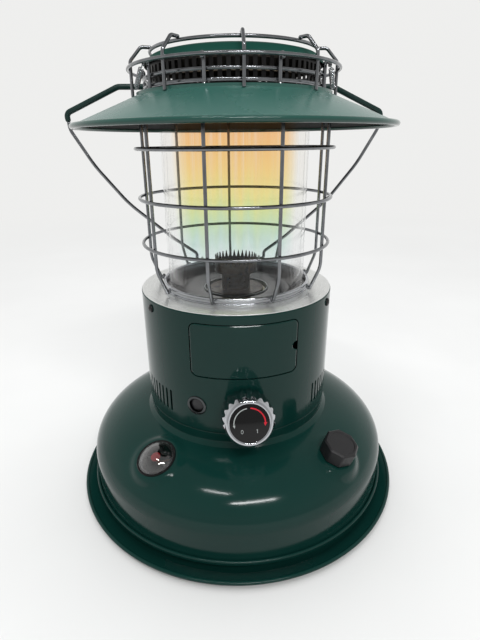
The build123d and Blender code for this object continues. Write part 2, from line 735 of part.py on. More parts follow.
ear_x = HANDLE_PIVOT_X - 8
ear_radius = HANDLE_PIVOT_Z - plate_top_z
with BuildPart() as handle_brackets:
    with BuildSketch(Plane.YZ.offset(ear_x)):
        with Locations((handle_pivot_y, HANDLE_PIVOT_Z)):
            Circle(ear_radius)
        with Locations((handle_pivot_y, HANDLE_PIVOT_Z - ear_radius / 2)):
            Rectangle(2 * ear_radius, ear_radius)
        with Locations((handle_pivot_y, HANDLE_PIVOT_Z)):
            Circle(HANDLE_WIRE / 2 + RUNNING, mode=Mode.SUBTRACT)
    extrude(amount=2.5)
    with Locations((ear_x - 5, handle_pivot_y, plate_top_z + 0.6)):
        Box(15, 10, 1.2)
    mirror(about=Plane.YZ)
save(handle_brackets.part, "handle_brackets")

# ---------------------------------------------------------------- control knob, shaft and pinion
knob_section = Plane(origin=knob_face.origin, x_dir=knob_face.x_dir, z_dir=-knob_face.y_dir)
with BuildPart() as knob_shell:
    with BuildSketch(knob_face.offset(-KNOB_LENGTH)):
        Circle(KNOB_RADIUS)
        with PolarLocations(KNOB_RADIUS + 1.4, KNOB_FLUTES):
            Circle(3.0, mode=Mode.SUBTRACT)
    extrude(amount=KNOB_LENGTH)
    with BuildSketch(knob_section):
        with BuildLine():
            Polyline(
                (0, -KNOB_LENGTH),
                (KNOB_RADIUS, -KNOB_LENGTH),
                (KNOB_RADIUS, -7),
                (KNOB_FACE_RADIUS + 1, -1),
                (KNOB_FACE_RADIUS, 0),
                (0, 0),
                close=True,
            )
        make_face()
    revolve(axis=Axis(knob_face.origin, knob_axis), mode=Mode.INTERSECT)
    with BuildSketch(knob_face.offset(-1.2)):
        Circle(DIAL_RADIUS)
    extrude(amount=5, mode=Mode.SUBTRACT)
    with BuildSketch(knob_face.offset(-KNOB_LENGTH)):
        Circle(KNOB_FACE_RADIUS)
    extrude(amount=KNOB_LENGTH - 6, mode=Mode.SUBTRACT)
    add(tube(knob_face, SHAFT_RADIUS + 3, SHAFT_RADIUS, -KNOB_LENGTH + 3, -6))
save(knob_shell.part, "knob_shell")

save(tube(knob_face, DIAL_RADIUS, 0, -1.2, -0.4), "knob_dial")

shaft_length = shaft_foot / cos(radians(KNOB_TILT))
with BuildPart() as knob_shaft:
    add(tube(knob_face, SHAFT_RADIUS, 0, -shaft_length + 2.5, -6))
    with BuildSketch(pinion_plane.offset(-2.5)):
        Circle(SHAFT_RADIUS - 0.2)
        with PolarLocations(rack_side - 0.2, PINION_TEETH, start_angle=180 / PINION_TEETH):
            Rectangle(1.9, 1.0)
    extrude(amount=5)
save(knob_shaft.part, "knob_shaft")

save(tube(bush_plane, BUSH_RADIUS, SHAFT_RADIUS + RUNNING, -8, 5), "knob_bush")

# ---------------------------------------------------------------- stop button
with BuildPart() as stop_cup:
    add(tube(stop_plane, cup_radius, STOP_RADIUS + RUNNING, -14, 0.4))
    add(tube(stop_plane, cup_radius + 2, STOP_RADIUS + RUNNING, 0.05, 1.1))
    add(tube(stop_plane, cup_radius, 2.5 + RUNNING, -15.5, -14))
save(stop_cup.part, "stop_cup")

with BuildPart() as stop_button:
    add(tube(stop_plane, STOP_RADIUS, 0, -9, -0.8))
    add(tube(stop_plane, 5.0, 2.5, -9, -4), mode=Mode.SUBTRACT)
    add(tube(stop_plane, 2.5, 0, -19, -8))
save(stop_button.part, "stop_button")

save(tube(stop_plane, 4.4, 3.0, -14, -4 - STOP_TRAVEL - GAP), "stop_spring")

# ---------------------------------------------------------------- fuel gauge
gauge_flange = SEAT_PROUD + 1.2
with BuildPart() as gauge_cup:
    add(tube(gauge_plane, GAUGE_RADIUS, GAUGE_RADIUS - 1.2, -12, gauge_flange))
    add(tube(gauge_plane, GAUGE_RADIUS + 4, GAUGE_RADIUS - 1.2, SEAT_PROUD, gauge_flange))
save(gauge_cup.part, "gauge_cup")

lens_sphere = (GAUGE_LENS_RADIUS**2 + GAUGE_LENS_RISE**2) / (2 * GAUGE_LENS_RISE)
with BuildPart() as gauge_lens:
    with Locations(gauge_plane.offset(gauge_flange + GAUGE_LENS_RISE - lens_sphere).location):
        Sphere(lens_sphere)
        Sphere(lens_sphere - 1.2, mode=Mode.SUBTRACT)
    split(bisect_by=gauge_plane.offset(gauge_flange), keep=Keep.TOP)
save(gauge_lens.part, "gauge_lens")

float_pivot = gauge_plane.offset(-8)
pin_plane = Plane(origin=float_pivot.origin, x_dir=float_pivot.y_dir, z_dir=float_pivot.x_dir)
pin_reach = sqrt((GAUGE_RADIUS - 1.2) ** 2 - 1)
save(tube(pin_plane, 1.0, 0, -pin_reach, pin_reach), "gauge_pin")

float_drop = FLOAT_ARM / sqrt(2)
with BuildPart() as fuel_float:
    add(tube(pin_plane, 2.4, 1.0 + RUNNING, -2, 2))
    start = float_pivot.from_local_coords(Vector(0, 1.3, -1.3))
    end = float_pivot.from_local_coords(Vector(0, float_drop, -float_drop))
    add(tube(Plane(origin=start, z_dir=end - start), 1.0, 0, 0, (end - start).length))
    add(tube(Plane.XY.move(Location(end)), 12, 0, -8, 6))
save(fuel_float.part, "fuel_float")

with BuildPart() as gauge_flag:
    flag_foot = float_pivot.from_local_coords(Vector(0, 0, 2.5))
    add(tube(Plane(origin=flag_foot, z_dir=gauge_plane.z_dir), 0.8, 0, 0, 8))
    add(tube(Plane(origin=flag_foot, z_dir=gauge_plane.z_dir), 5.0, 0, 8, 9.2))
save(gauge_flag.part, "gauge_flag")

# ---------------------------------------------------------------- filler neck, strainer and cap
neck_top = 8.0
save(tube(filler_plane, NECK_RADIUS, NECK_RADIUS - NECK_WALL, -14, neck_top), "filler_neck")

strainer_radius = NECK_RADIUS - NECK_WALL - RUNNING
with BuildPart() as strainer:
    add(tube(filler_plane, strainer_radius, strainer_radius - SHEET, -48, neck_top + SHEET))
    add(tube(filler_plane, strainer_radius, 0, -48, -48 + SHEET))
    add(tube(filler_plane, NECK_RADIUS, strainer_radius - SHEET, neck_top, neck_top + SHEET))
save(strainer.part, "strainer")

gasket_top = neck_top + SHEET + 1.6
save(tube(filler_plane, NECK_RADIUS, NECK_RADIUS - 4, neck_top + SHEET, gasket_top), "cap_gasket")

with BuildPart() as filler_cap:
    with BuildSketch(filler_plane.offset(2)):
        RegularPolygon(radius=CAP_FLATS / 2, side_count=8, major_radius=False)
    extrude(amount=CAP_HEIGHT)
    cap_top = filler_cap.faces().sort_by(Axis(filler_plane.origin, filler_plane.z_dir))[-1]
    chamfer(cap_top.edges(), length=1.5)
    with BuildSketch(filler_plane.offset(2)):
        Circle(NECK_RADIUS + 0.6)
    extrude(amount=gasket_top - 2, mode=Mode.SUBTRACT)
save(filler_cap.part, "filler_cap")

# ---------------------------------------------------------------- front door
door_outer = HOUSING_RADIUS + DOOR_PROUD
door_inner = door_outer - DOOR_SHEET
with BuildPart() as door_panel:
    add(tube(Plane.XY, door_outer, door_inner, DOOR_Z - DOOR_HEIGHT, DOOR_Z + DOOR_HEIGHT))
    with BuildSketch(Plane.XZ):
        with Locations((0, DOOR_Z)):
            RectangleRounded(2 * DOOR_HALF_WIDTH, DOOR_HEIGHT, DOOR_CORNER)
        with Locations((DOOR_HALF_WIDTH, DOOR_Z)):
            Circle(6.5, mode=Mode.SUBTRACT)
    extrude(amount=HOUSING_RADIUS + 5, mode=Mode.INTERSECT)
save(door_panel.part, "door_panel")

jamb_x = -(DOOR_HALF_WIDTH + DOOR_GAP)
jamb = Vector(jamb_x, -sqrt(HOUSING_RADIUS**2 - jamb_x**2), 0)
inward = Vector(-jamb.X, -jamb.Y, 0).normalized()
along = Vector(-inward.Y, inward.X, 0) * -1
hinge_point = jamb - along * HINGE_SET_BACK + inward * HINGE_DEPTH


def hinge_plane(z):
    """The door hinge's plane at a height: x runs along the wall to the right, y points inwards."""
    return Plane(origin=(hinge_point.X, hinge_point.Y, z), x_dir=along, z_dir=(0, 0, 1))


arm_reach = HINGE_SET_BACK + 4.5
arm_depth = 13.0
with BuildPart() as door_arms:
    for height in (DOOR_Z - 17, DOOR_Z + 7):
        with BuildSketch(hinge_plane(height)):
            with BuildLine():
                FilletPolyline((0, 1), (0, arm_depth), (arm_reach, arm_depth), (arm_reach, -9), radius=3)
                offset(amount=1.6, side=Side.RIGHT)
            make_face()
            Circle(3.2)
            Circle(HINGE_PIN_RADIUS + RUNNING, mode=Mode.SUBTRACT)
        extrude(amount=10)
    with BuildSketch(Plane.XY.offset(DOOR_Z - DOOR_HEIGHT)):
        Circle(door_inner)
    extrude(amount=2 * DOOR_HEIGHT, mode=Mode.INTERSECT)
save(door_arms.part, "door_arms")

with BuildPart() as door_hinge_pin:
    for height in (DOOR_Z - 22, DOOR_Z + 20):
        with BuildSketch(hinge_plane(height)):
            Rectangle(8, 14)
        extrude(amount=2)
    with BuildSketch(Plane.XY.offset(DOOR_Z - DOOR_HEIGHT)):
        Circle(HOUSING_RADIUS - SHEET)
    extrude(amount=2 * DOOR_HEIGHT, mode=Mode.INTERSECT)
    with BuildSketch(hinge_plane(DOOR_Z - 22)):
        Circle(HINGE_PIN_RADIUS)
    extrude(amount=44)
save(door_hinge_pin.part, "door_hinge_pin")

# ---------------------------------------------------------------- battery case at the back
cell_y = HOUSING_RADIUS + 1.6 + BATTERY_RADIUS + GAP
cell_low_z = TANK_TOP_Z + 14.0 + CASE_WALL + BATTERY_RADIUS
cell_pitch = 2 * BATTERY_RADIUS + 0.5
case_bottom_z = cell_low_z - BATTERY_RADIUS - GAP - CASE_WALL
case_top_z = cell_low_z + cell_pitch + BATTERY_RADIUS + GAP + CASE_WALL
case_mid_z = (case_bottom_z + case_top_z) / 2
case_half_width = BATTERY_LENGTH + GAP + 1 + CASE_WALL
lid_y = cell_y + BATTERY_RADIUS + 1
case_back_y = lid_y + LID_THICKNESS + 1.6 + 2 * RUNNING

with BuildPart() as battery_case:
    with Locations((0, case_back_y / 2 + 30, case_mid_z)):
        Box(2 * case_half_width, case_back_y - 60, case_top_z - case_bottom_z)
    fillet(battery_case.edges().filter_by(Axis.Z).group_by(Axis.Y)[-1], radius=4)
    with BuildSketch(Plane.XY):
        Circle(HOUSING_RADIUS)
    extrude(amount=case_top_z + 5, mode=Mode.SUBTRACT)
    cell_back = cell_y - BATTERY_RADIUS - GAP
    with Locations((0, (cell_back + lid_y) / 2, case_mid_z)):
        Box(
            2 * (case_half_width - CASE_WALL),
            lid_y - cell_back,
            case_top_z - case_bottom_z - 2 * CASE_WALL,
            mode=Mode.SUBTRACT,
        )
    with Locations((0, lid_y + LID_THICKNESS / 2 + RUNNING, case_mid_z + CASE_WALL)):
        Box(
            2 * (case_half_width - CASE_WALL + 1),
            LID_THICKNESS + 2 * RUNNING,
            case_top_z - case_bottom_z,
            mode=Mode.SUBTRACT,
        )
    with Locations((0, case_back_y, case_mid_z + CASE_WALL)):
        Box(2 * case_half_width - 14, 8, case_top_z - case_bottom_z, mode=Mode.SUBTRACT)
save(battery_case.part, "battery_case")

with BuildPart() as battery_lid:
    lid_height = case_top_z - case_bottom_z - CASE_WALL
    with Locations((0, lid_y + LID_THICKNESS / 2 + RUNNING, case_mid_z + CASE_WALL / 2)):
        Box(2 * (case_half_width - CASE_WALL + 1) - 0.2, LID_THICKNESS, lid_height)
    for rib in range(4):
        with Locations((0, lid_y + LID_THICKNESS + 0.4, case_top_z - 14 - 3 * rib)):
            Box(30, 1.0, 1.2)
save(battery_lid.part, "battery_lid")

with BuildPart() as batteries:
    for row in range(2):
        for side in (-1, 1):
            centre = (side * (BATTERY_LENGTH + 0.4) / 2, cell_y, cell_low_z + row * cell_pitch)
            cell = Plane(origin=centre, z_dir=(1, 0, 0))
            add(tube(cell, BATTERY_RADIUS, 0, -BATTERY_LENGTH / 2, BATTERY_LENGTH / 2 - 2))
            add(tube(cell, 4.5, 0, BATTERY_LENGTH / 2 - 2, BATTERY_LENGTH / 2))
save(batteries.part, "batteries")

# ---------------------------------------------------------------- tip-over weight
sensor_x = 55.0
sensor_y = 48.0
sensor_z = TANK_WELL_Z + 40
sensor_pin = Plane(origin=(sensor_x + 2, sensor_y, sensor_z), z_dir=(1, 0, 0))
with BuildPart() as tip_bracket:
    with Locations((sensor_x - 4, sensor_y, TANK_WELL_Z + 0.75)):
        Box(12, 22, 1.5)
    with Locations((sensor_x + 1, sensor_y, TANK_WELL_Z + 22)):
        Box(2, 14, 44)
    add(tube(sensor_pin, 1.5, 0, -0.5, 14))
    add(tube(sensor_pin, 2.6, 0, 12.9, 14))
save(tip_bracket.part, "tip_bracket")

with BuildPart() as tip_weight:
    add(tube(sensor_pin, 3.4, 1.5 + RUNNING, 6.5, 12.5))
    drop = Plane(origin=(sensor_x + 11.5, sensor_y, sensor_z - 3), z_dir=(0, 0, -1))
    add(tube(drop, 1.4, 0, 0, 14))
    add(tube(drop, 8.5, 0, 13, 28))
save(tip_weight.part, "tip_weight")
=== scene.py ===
"""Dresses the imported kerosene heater: gloss enamel, bright wire, film-coated glass and burner."""

from __future__ import annotations

import json
import logging
import math
from collections.abc import Callable, Iterable, Sequence
from dataclasses import dataclass
from enum import Enum
from functools import cache
from itertools import pairwise
from typing import Protocol

import bmesh
import bpy
from mathutils import Matrix, Vector

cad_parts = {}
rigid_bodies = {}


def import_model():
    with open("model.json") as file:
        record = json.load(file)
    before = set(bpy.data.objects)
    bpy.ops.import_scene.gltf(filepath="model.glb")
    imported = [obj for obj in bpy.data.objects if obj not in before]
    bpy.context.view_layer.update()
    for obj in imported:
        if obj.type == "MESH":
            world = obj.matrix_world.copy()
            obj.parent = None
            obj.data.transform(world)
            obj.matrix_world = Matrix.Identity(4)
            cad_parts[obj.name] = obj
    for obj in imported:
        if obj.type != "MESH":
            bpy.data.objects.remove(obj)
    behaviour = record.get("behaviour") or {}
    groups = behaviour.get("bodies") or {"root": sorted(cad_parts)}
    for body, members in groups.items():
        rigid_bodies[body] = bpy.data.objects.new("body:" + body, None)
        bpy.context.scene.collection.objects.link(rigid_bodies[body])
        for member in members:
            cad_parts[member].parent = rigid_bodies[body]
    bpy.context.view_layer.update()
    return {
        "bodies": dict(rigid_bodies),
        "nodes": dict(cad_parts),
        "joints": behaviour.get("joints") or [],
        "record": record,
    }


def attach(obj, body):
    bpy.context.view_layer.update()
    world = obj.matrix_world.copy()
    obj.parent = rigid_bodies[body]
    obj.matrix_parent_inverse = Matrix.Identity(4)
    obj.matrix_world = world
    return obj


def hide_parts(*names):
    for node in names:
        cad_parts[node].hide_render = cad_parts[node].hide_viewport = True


LOG = logging.getLogger("heater")
MM = 0.001                      # the pieces are shaped in millimetres
FINE = 256                      # steps of a large round surface
FINER = 320                     # steps of the widest ones
SHEET = 0.8                     # pressed steel sheet
HOUSING_RADIUS = 105.8          # the housing's outer face, which its fittings stand on
AXIS = Vector((0, 0, 1))

WELD = 1e-4                     # millimetres: points closer than this are one
ON_AXIS = 1e-6                  # a radius below this is the axis itself
POLE = 0.01                     # radius of a turned shape's closed middle
LEAST_TURN = 1e-3               # radians: a corner that turns less is left as it is
LONGEST_REACH = 0.49            # share of a side that one corner's arc may take
SHARPEST_MITRE = 0.35           # limits how far the back of a sheet is carried out at a corner
UPRIGHT = 0.999                 # a unit vector whose z is above this counts as upright
SQUARE = 0.995                  # a face whose normal is this near the wall's own belongs to the wall
SOFT_RIM = 0.25                 # how far the rims of a pipe are broken

Point = tuple[float, float]
Place = tuple[float, float, float]
Span = tuple[float, float, float, float]
Colour = tuple[float, float, float, float]


class Side(Enum):
    """A side of the heater, as someone who faces its knob sees it."""

    LEFT = -1
    RIGHT = 1


# ---------------------------------------------------------------- small geometry


def srgb(red: int, green: int, blue: int) -> Colour:
    """The linear colour of an eight-bit one.

    Args:
        red: its red part, from 0 to 255.
        green: its green part.
        blue: its blue part.

    Returns:
        The colour, opaque.
    """
    shares = (red / 255, green / 255, blue / 255)
    linear = [s / 12.92 if s <= 0.04045 else ((s + 0.055) / 1.055) ** 2.4 for s in shares]
    return (linear[0], linear[1], linear[2], 1.0)


def scaled(colour: Sequence[float], share: float) -> Colour:
    """A colour made darker or lighter by a share, and opaque."""
    return tuple(min(1.0, part * share) for part in colour[:3]) + (1.0,)


def front(bearing: float, radius: float, z: float) -> Vector:
    """A point at a bearing in degrees from the front (positive to the right), a radius and a height."""
    turn = math.radians(bearing)
    return Vector((radius * math.sin(turn), -radius * math.cos(turn), z))


def leaning(bearing: float, lean: float) -> Vector:
    """A direction that leans out towards a bearing, both in degrees; 90 lies level."""
    turn = math.radians(lean)
    return front(bearing, math.sin(turn), math.cos(turn))


def rounded(
    points: Sequence[Sequence[float]], radii: Sequence[float] | float, steps: int = 6
) -> list[Vector]:
    """Rounds the inner corners of a run of points.

    Args:
        points: the corners, in two or three dimensions.
        radii: one radius for every inner corner, or one for all of them.
        steps: how many chords each arc gets.

    Returns:
        The run with each inner corner replaced by an arc.
    """
    corners = [Vector(p) for p in points]
    wanted = [radii] * (len(corners) - 2) if isinstance(radii, (int, float)) else list(radii)
    run = [corners[0]]
    for before, corner, after, radius in zip(corners, corners[1:], corners[2:], wanted):
        to_before, to_after = before - corner, after - corner
        turn = math.pi - to_before.angle(to_after)
        if radius <= 0 or turn < LEAST_TURN:
            run.append(corner)
            continue
        longest = LONGEST_REACH * min(to_before.length, to_after.length)
        reach = min(radius * math.tan(turn / 2), longest)
        radius = reach / math.tan(turn / 2)
        start = corner + to_before.normalized() * reach
        middle = (to_before.normalized() + to_after.normalized()).normalized()
        centre = corner + middle * math.hypot(radius, reach)
        spoke = start - centre
        side = (corner + to_after.normalized() * reach) - centre
        for step in range(steps + 1):
            share = turn * step / steps
            blend = math.sin(turn - share) * spoke + math.sin(share) * side
            run.append(centre + blend / math.sin(turn))
    run.append(corners[-1])
    return run


def arc(centre: Point, half_axes: Point, start: float, sweep: float, steps: int) -> list[Vector]:
    """Points along an elliptical arc.

    Args:
        centre: the middle of the ellipse.
        half_axes: half its width and half its height.
        start: the angle of the first point, in degrees from the right, anticlockwise.
        sweep: degrees from the first point to the last.
        steps: how many chords lie between them.

    Returns:
        The points, one more than the chords.
    """
    turns = [math.radians(start + sweep * step / steps) for step in range(steps + 1)]
    wide, tall = half_axes
    return [Vector((centre[0] + wide * math.cos(t), centre[1] + tall * math.sin(t))) for t in turns]


def sheet(run: Sequence[Vector], thickness: float = SHEET) -> list[Vector]:
    """The closed outline of a sheet whose outer face follows a run.

    Args:
        run: points along the outer face.
        thickness: how far the back lies to the run's right; negative is to its left.

    Returns:
        The run and its back, as one closed outline.
    """
    back = []
    for index, point in enumerate(run):
        ahead = run[min(index + 1, len(run) - 1)] - point
        behind = point - run[max(index - 1, 0)]
        along = ahead.normalized() + behind.normalized()
        normal = Vector((along[1], -along[0])).normalized()
        slant = normal.dot(Vector((ahead[1], -ahead[0])).normalized()) if ahead.length else 1.0
        back.append(point + normal * thickness / max(SHARPEST_MITRE, slant))
    return list(run) + back[::-1]


def round_box(half_width: float, low: float, high: float, corner: float) -> list[Vector]:
    """The closed outline of a rectangle with round corners, centred sideways.

    Args:
        half_width: half its width.
        low: height of its lower edge.
        high: height of its upper edge.
        corner: radius of its corners.

    Returns:
        The outline, from the middle of its lower edge.
    """
    wide = half_width
    corners = [(0, low), (wide, low), (wide, high), (-wide, high), (-wide, low), (0, low)]
    return rounded(corners, corner, steps=8)[:-1]


def smooth(share: float) -> float:
    """Rises gently from 0 to 1 as its share does."""
    share = min(max(share, 0.0), 1.0)
    return share * share * (3 - 2 * share)


def seat_matrix(origin: Vector, normal: Vector) -> Matrix:
    """The place of a round fitting.

    Args:
        origin: where its middle stands.
        normal: the way that it faces.

    Returns:
        A matrix with its z along the normal and its x level.
    """
    z = normal.normalized()
    x = AXIS.cross(z).normalized() if abs(z.z) < UPRIGHT else Vector((1, 0, 0))
    turn = Matrix((x, z.cross(x), z)).transposed().to_4x4()
    return Matrix.Translation(origin) @ turn


def drawn_in_front(bearing: float = 0.0) -> Matrix:
    """A drawing board that faces the viewer at a bearing: x to the right, y up, z outwards."""
    return Matrix.Rotation(math.radians(bearing), 4, "Z") @ Matrix.Rotation(math.pi / 2, 4, "X")


def edges_of(verts: Iterable[bmesh.types.BMVert]) -> list[bmesh.types.BMEdge]:
    """The edges that meet any of some vertices."""
    return list({edge for vert in verts for edge in vert.link_edges})


class Shaper:
    """One piece's mesh, shaped in millimetres and handed over in metres."""

    # how the end of a wire is rounded: reach along it and share of its width
    wire_end: tuple[Point, ...] = ((0.0, 0.72), (0.18, 0.94), (0.4, 1.0))

    def __init__(self) -> None:
        """Starts with nothing."""
        self.mesh = bmesh.new()

    def spin(self, geometry: list, steps: int) -> None:
        """Spins geometry once round the heater's axis.

        Args:
            geometry: vertices and edges.
            steps: how many steps go round.
        """
        bmesh.ops.spin(
            self.mesh, geom=geometry, cent=(0, 0, 0), axis=AXIS, angle=math.tau, steps=steps, use_merge=True
        )

    def lathe(self, outline: Iterable[Sequence[float]], steps: int = FINE) -> None:
        """Spins a closed outline about the heater's axis.

        Args:
            outline: radii and heights; where both its ends lie on the axis, they aren't joined.
            steps: how many steps go round.
        """
        start = len(self.mesh.verts)
        verts = [self.mesh.verts.new((max(p[0], 0.0), 0, p[1])) for p in outline]
        edges = [self.mesh.edges.new(pair) for pair in pairwise(verts)]
        if max(verts[0].co.x, verts[-1].co.x) >= ON_AXIS:
            edges.append(self.mesh.edges.new((verts[-1], verts[0])))
        self.spin(verts + edges, steps)
        self.mesh.verts.ensure_lookup_table()
        bmesh.ops.remove_doubles(self.mesh, verts=self.mesh.verts[start:], dist=WELD)

    def hoop(self, radius: float, z: float, wire: float, steps: int = FINE, sides: int = 14) -> None:
        """Lays a ring of round wire about the heater's axis.

        Args:
            radius: the ring's radius, to the wire's middle.
            z: its height.
            wire: the wire's width.
            steps: how many steps go round the axis.
            sides: how many sides the wire has.
        """
        place = Matrix.Translation((radius, 0, z)) @ Matrix.Rotation(math.pi / 2, 4, "X")
        ring = bmesh.ops.create_circle(self.mesh, segments=sides, radius=wire / 2, matrix=place)["verts"]
        self.spin(ring + edges_of(ring), steps)

    def carried(self, previous: list | None, loop: list) -> list:
        """Carries a run of loops on by one.

        Args:
            previous: the loop before this one, or None where this is the first.
            loop: edges of the new loop, which is closed by a face if it is the first.

        Returns:
            The new loop.
        """
        if previous is None:
            bmesh.ops.contextual_create(self.mesh, geom=loop)
        else:
            bmesh.ops.bridge_loops(self.mesh, edges=previous + loop)
        return loop

    def wire(self, path: Sequence[Vector], width: float, sides: int = 14) -> None:
        """Lays a round wire along a path, closed at both ends and slightly rounded there.

        Args:
            path: points along the wire's middle.
            width: the wire's width.
            sides: how many sides it has.
        """
        heading = (path[1] - path[0]).normalized()
        final = (path[-1] - path[-2]).normalized()
        level = heading.orthogonal().normalized()
        runs = [(path[0] + heading * width * reach, heading, share) for reach, share in self.wire_end]
        for before, point, after in zip(path, path[1:], path[2:]):
            along = (after - point).normalized() + (point - before).normalized()
            runs.append((point, along.normalized(), 1.0))
        runs += [(path[-1] - final * width * reach, final, share) for reach, share in self.wire_end[::-1]]
        previous: list | None = None
        for point, along, share in runs:
            level = (level - along * level.dot(along)).normalized()
            turn = Matrix((level, along.cross(level), along)).transposed().to_4x4()
            place = Matrix.Translation(point) @ turn
            radius = share * width / 2
            ring = bmesh.ops.create_circle(self.mesh, segments=sides, radius=radius, matrix=place)["verts"]
            previous = self.carried(previous, edges_of(ring))
        bmesh.ops.contextual_create(self.mesh, geom=previous)

    def drum(
        self,
        place: Matrix,
        rings: Sequence[Point],
        sides: int = 48,
        wave: Callable[[float, float], float] | None = None,
    ) -> None:
        """Lays a turned shape: rings along a matrix's z, closed at both ends.

        Args:
            place: where the shape's axis lies.
            rings: radius and reach of each ring, above a radius of 0.
            sides: how many sides each ring has.
            wave: changes a ring's radius, from the radius and the turn about the axis.
        """
        made: list[bmesh.types.BMVert] = []
        previous: list | None = None
        for radius, reach in rings:
            ring = bmesh.ops.create_circle(self.mesh, segments=sides, radius=radius)["verts"]
            for vert in ring:
                if wave is not None:
                    vert.co *= wave(radius, math.atan2(vert.co.y, vert.co.x)) / radius
                vert.co.z = reach
            previous = self.carried(previous, edges_of(ring))
            made += ring
        bmesh.ops.contextual_create(self.mesh, geom=previous)
        bmesh.ops.transform(self.mesh, matrix=place, verts=made)

    def turned(self, place: Matrix, outline: Iterable[Sequence[float]], sides: int = 96) -> None:
        """Spins an outline about a matrix's z, as a small fitting's shape.

        Args:
            place: where the shape's axis lies.
            outline: radii and reaches along the axis.
            sides: how many steps go round.
        """
        before = len(self.mesh.verts)
        self.lathe(outline, sides)
        self.mesh.verts.ensure_lookup_table()
        bmesh.ops.transform(self.mesh, matrix=place, verts=self.mesh.verts[before:])

    def pipe(self, place: Matrix, outer: float, bore: float, start: float, end: float) -> None:
        """Lays a round tube along a matrix's z, with its four rims just broken.

        Args:
            place: where the tube's axis lies.
            outer: its outer radius.
            bore: its inner radius.
            start: where it starts along the axis.
            end: where it ends.
        """
        soft = min(SOFT_RIM, (outer - bore) / 3)
        outline = [(bore, start + soft), (bore + soft, start), (outer - soft, start), (outer, start + soft)]
        outline += [(outer, end - soft), (outer - soft, end), (bore + soft, end), (bore, end - soft)]
        self.turned(place, outline, sides=64)

    def prism(self, place: Matrix, outline: Iterable[Sequence[float]], start: float, end: float) -> None:
        """Lays a closed prism.

        Args:
            place: the drawing board.
            outline: points across its x and y.
            start: where the prism starts along its z.
            end: where it ends.
        """
        loops: list[bmesh.types.BMEdge] = []
        for along in (start, end):
            verts = [self.mesh.verts.new(place @ Vector((point[0], point[1], along))) for point in outline]
            edges = [self.mesh.edges.new(pair) for pair in pairwise(verts + verts[:1])]
            bmesh.ops.contextual_create(self.mesh, geom=edges)
            loops += edges
        bmesh.ops.bridge_loops(self.mesh, edges=loops)

    def copies(self, count: int, first: float = 0.0) -> None:
        """Turns what is here about the heater's axis into evenly spaced copies.

        Args:
            count: how many there are in all.
            first: degrees by which the first is turned.
        """
        every = list(self.mesh.verts) + list(self.mesh.edges) + list(self.mesh.faces)
        turn = Matrix.Rotation(math.radians(first), 3, "Z")
        bmesh.ops.rotate(self.mesh, verts=self.mesh.verts, cent=(0, 0, 0), matrix=turn)
        for index in range(1, count):
            made = bmesh.ops.duplicate(self.mesh, geom=every)["geom"]
            verts = [item for item in made if isinstance(item, bmesh.types.BMVert)]
            turn = Matrix.Rotation(math.tau * index / count, 3, "Z")
            bmesh.ops.rotate(self.mesh, verts=verts, cent=(0, 0, 0), matrix=turn)

    def object(self, name: str, crease: float = 32.0) -> bpy.types.Object:
        """The finished mesh as an object at the origin.

        Args:
            name: the object's name.
            crease: edges sharper than this, in degrees, are shaded sharp.

        Returns:
            The object, linked to the scene.
        """
        bmesh.ops.recalc_face_normals(self.mesh, faces=self.mesh.faces)
        bmesh.ops.scale(self.mesh, vec=(MM, MM, MM), verts=self.mesh.verts)
        limit = math.radians(crease)
        for face in self.mesh.faces:
            face.smooth = True
        for edge in self.mesh.edges:
            edge.smooth = not (edge.is_manifold and edge.calc_face_angle(0.0) > limit)
        return linked(name, self.mesh)


def linked(name: str, mesh: bmesh.types.BMesh) -> bpy.types.Object:
    """Turns a mesh into an object of the scene.

    Args:
        name: the name of the object and of its data.
        mesh: the mesh, which is freed.

    Returns:
        The object, at the origin.
    """
    data = bpy.data.meshes.new(name)
    mesh.to_mesh(data)
    mesh.free()
    made = bpy.data.objects.new(name, data)
    bpy.context.scene.collection.objects.link(made)
    return made


def applied(target: bpy.types.Object) -> None:
    """Makes an object's modifiers part of its mesh.

    Args:
        target: the object.
    """
    graph = bpy.context.evaluated_depsgraph_get()
    data = bpy.data.meshes.new_from_object(target.evaluated_get(graph))
    data.name = target.name
    target.modifiers.clear()
    target.data = data


def cut(target: bpy.types.Object, tool: bpy.types.Object) -> None:
    """Cuts one object from another.

    Args:
        target: the object that is cut.
        tool: the shape of the cut, which is thrown away.
    """
    modifier = target.modifiers.new("cut", "BOOLEAN")
    modifier.object = tool
    modifier.operation = "DIFFERENCE"
    modifier.solver = "EXACT"
    applied(target)
    bpy.data.objects.remove(tool)


def evened(target: bpy.types.Object) -> bpy.types.Object:
    """Lets large faces lead the shading, so that flats stay flat beside their rounded edges.

    Args:
        target: the object.

    Returns:
        The same object.
    """
    modifier = target.modifiers.new("evened", "WEIGHTED_NORMAL")
    modifier.keep_sharp = True
    modifier.weight = 100
    applied(target)
    return target


def true_round(target: bpy.types.Object) -> None:
    """Gives a wall about the heater's axis the shading of a true cylinder, however it was cut.

    Args:
        target: the wall.
    """
    data = target.data
    normals: list[Vector] = []
    for polygon in data.polygons:
        radial = Vector((polygon.center.x, polygon.center.y, 0)).normalized()
        facing = polygon.normal.dot(radial)
        for index in polygon.vertices:
            place = data.vertices[index].co
            if abs(facing) > SQUARE:
                normals.append(Vector((place.x, place.y, 0)).normalized() * math.copysign(1, facing))
            else:
                normals.append(polygon.normal.copy())
    data.normals_split_custom_set(normals)


# ---------------------------------------------------------------- finishes

NOISE: Point = (0.3, 0.7)                   # where nearly all of a noise's values lie
WHITE: Colour = (1.0, 1.0, 1.0, 1.0)
SMOOTHEST = 0.02                            # no roughness wanders below this
EDGE_POWER = 5.0                            # how late a clear skin's gloss grows towards its edges


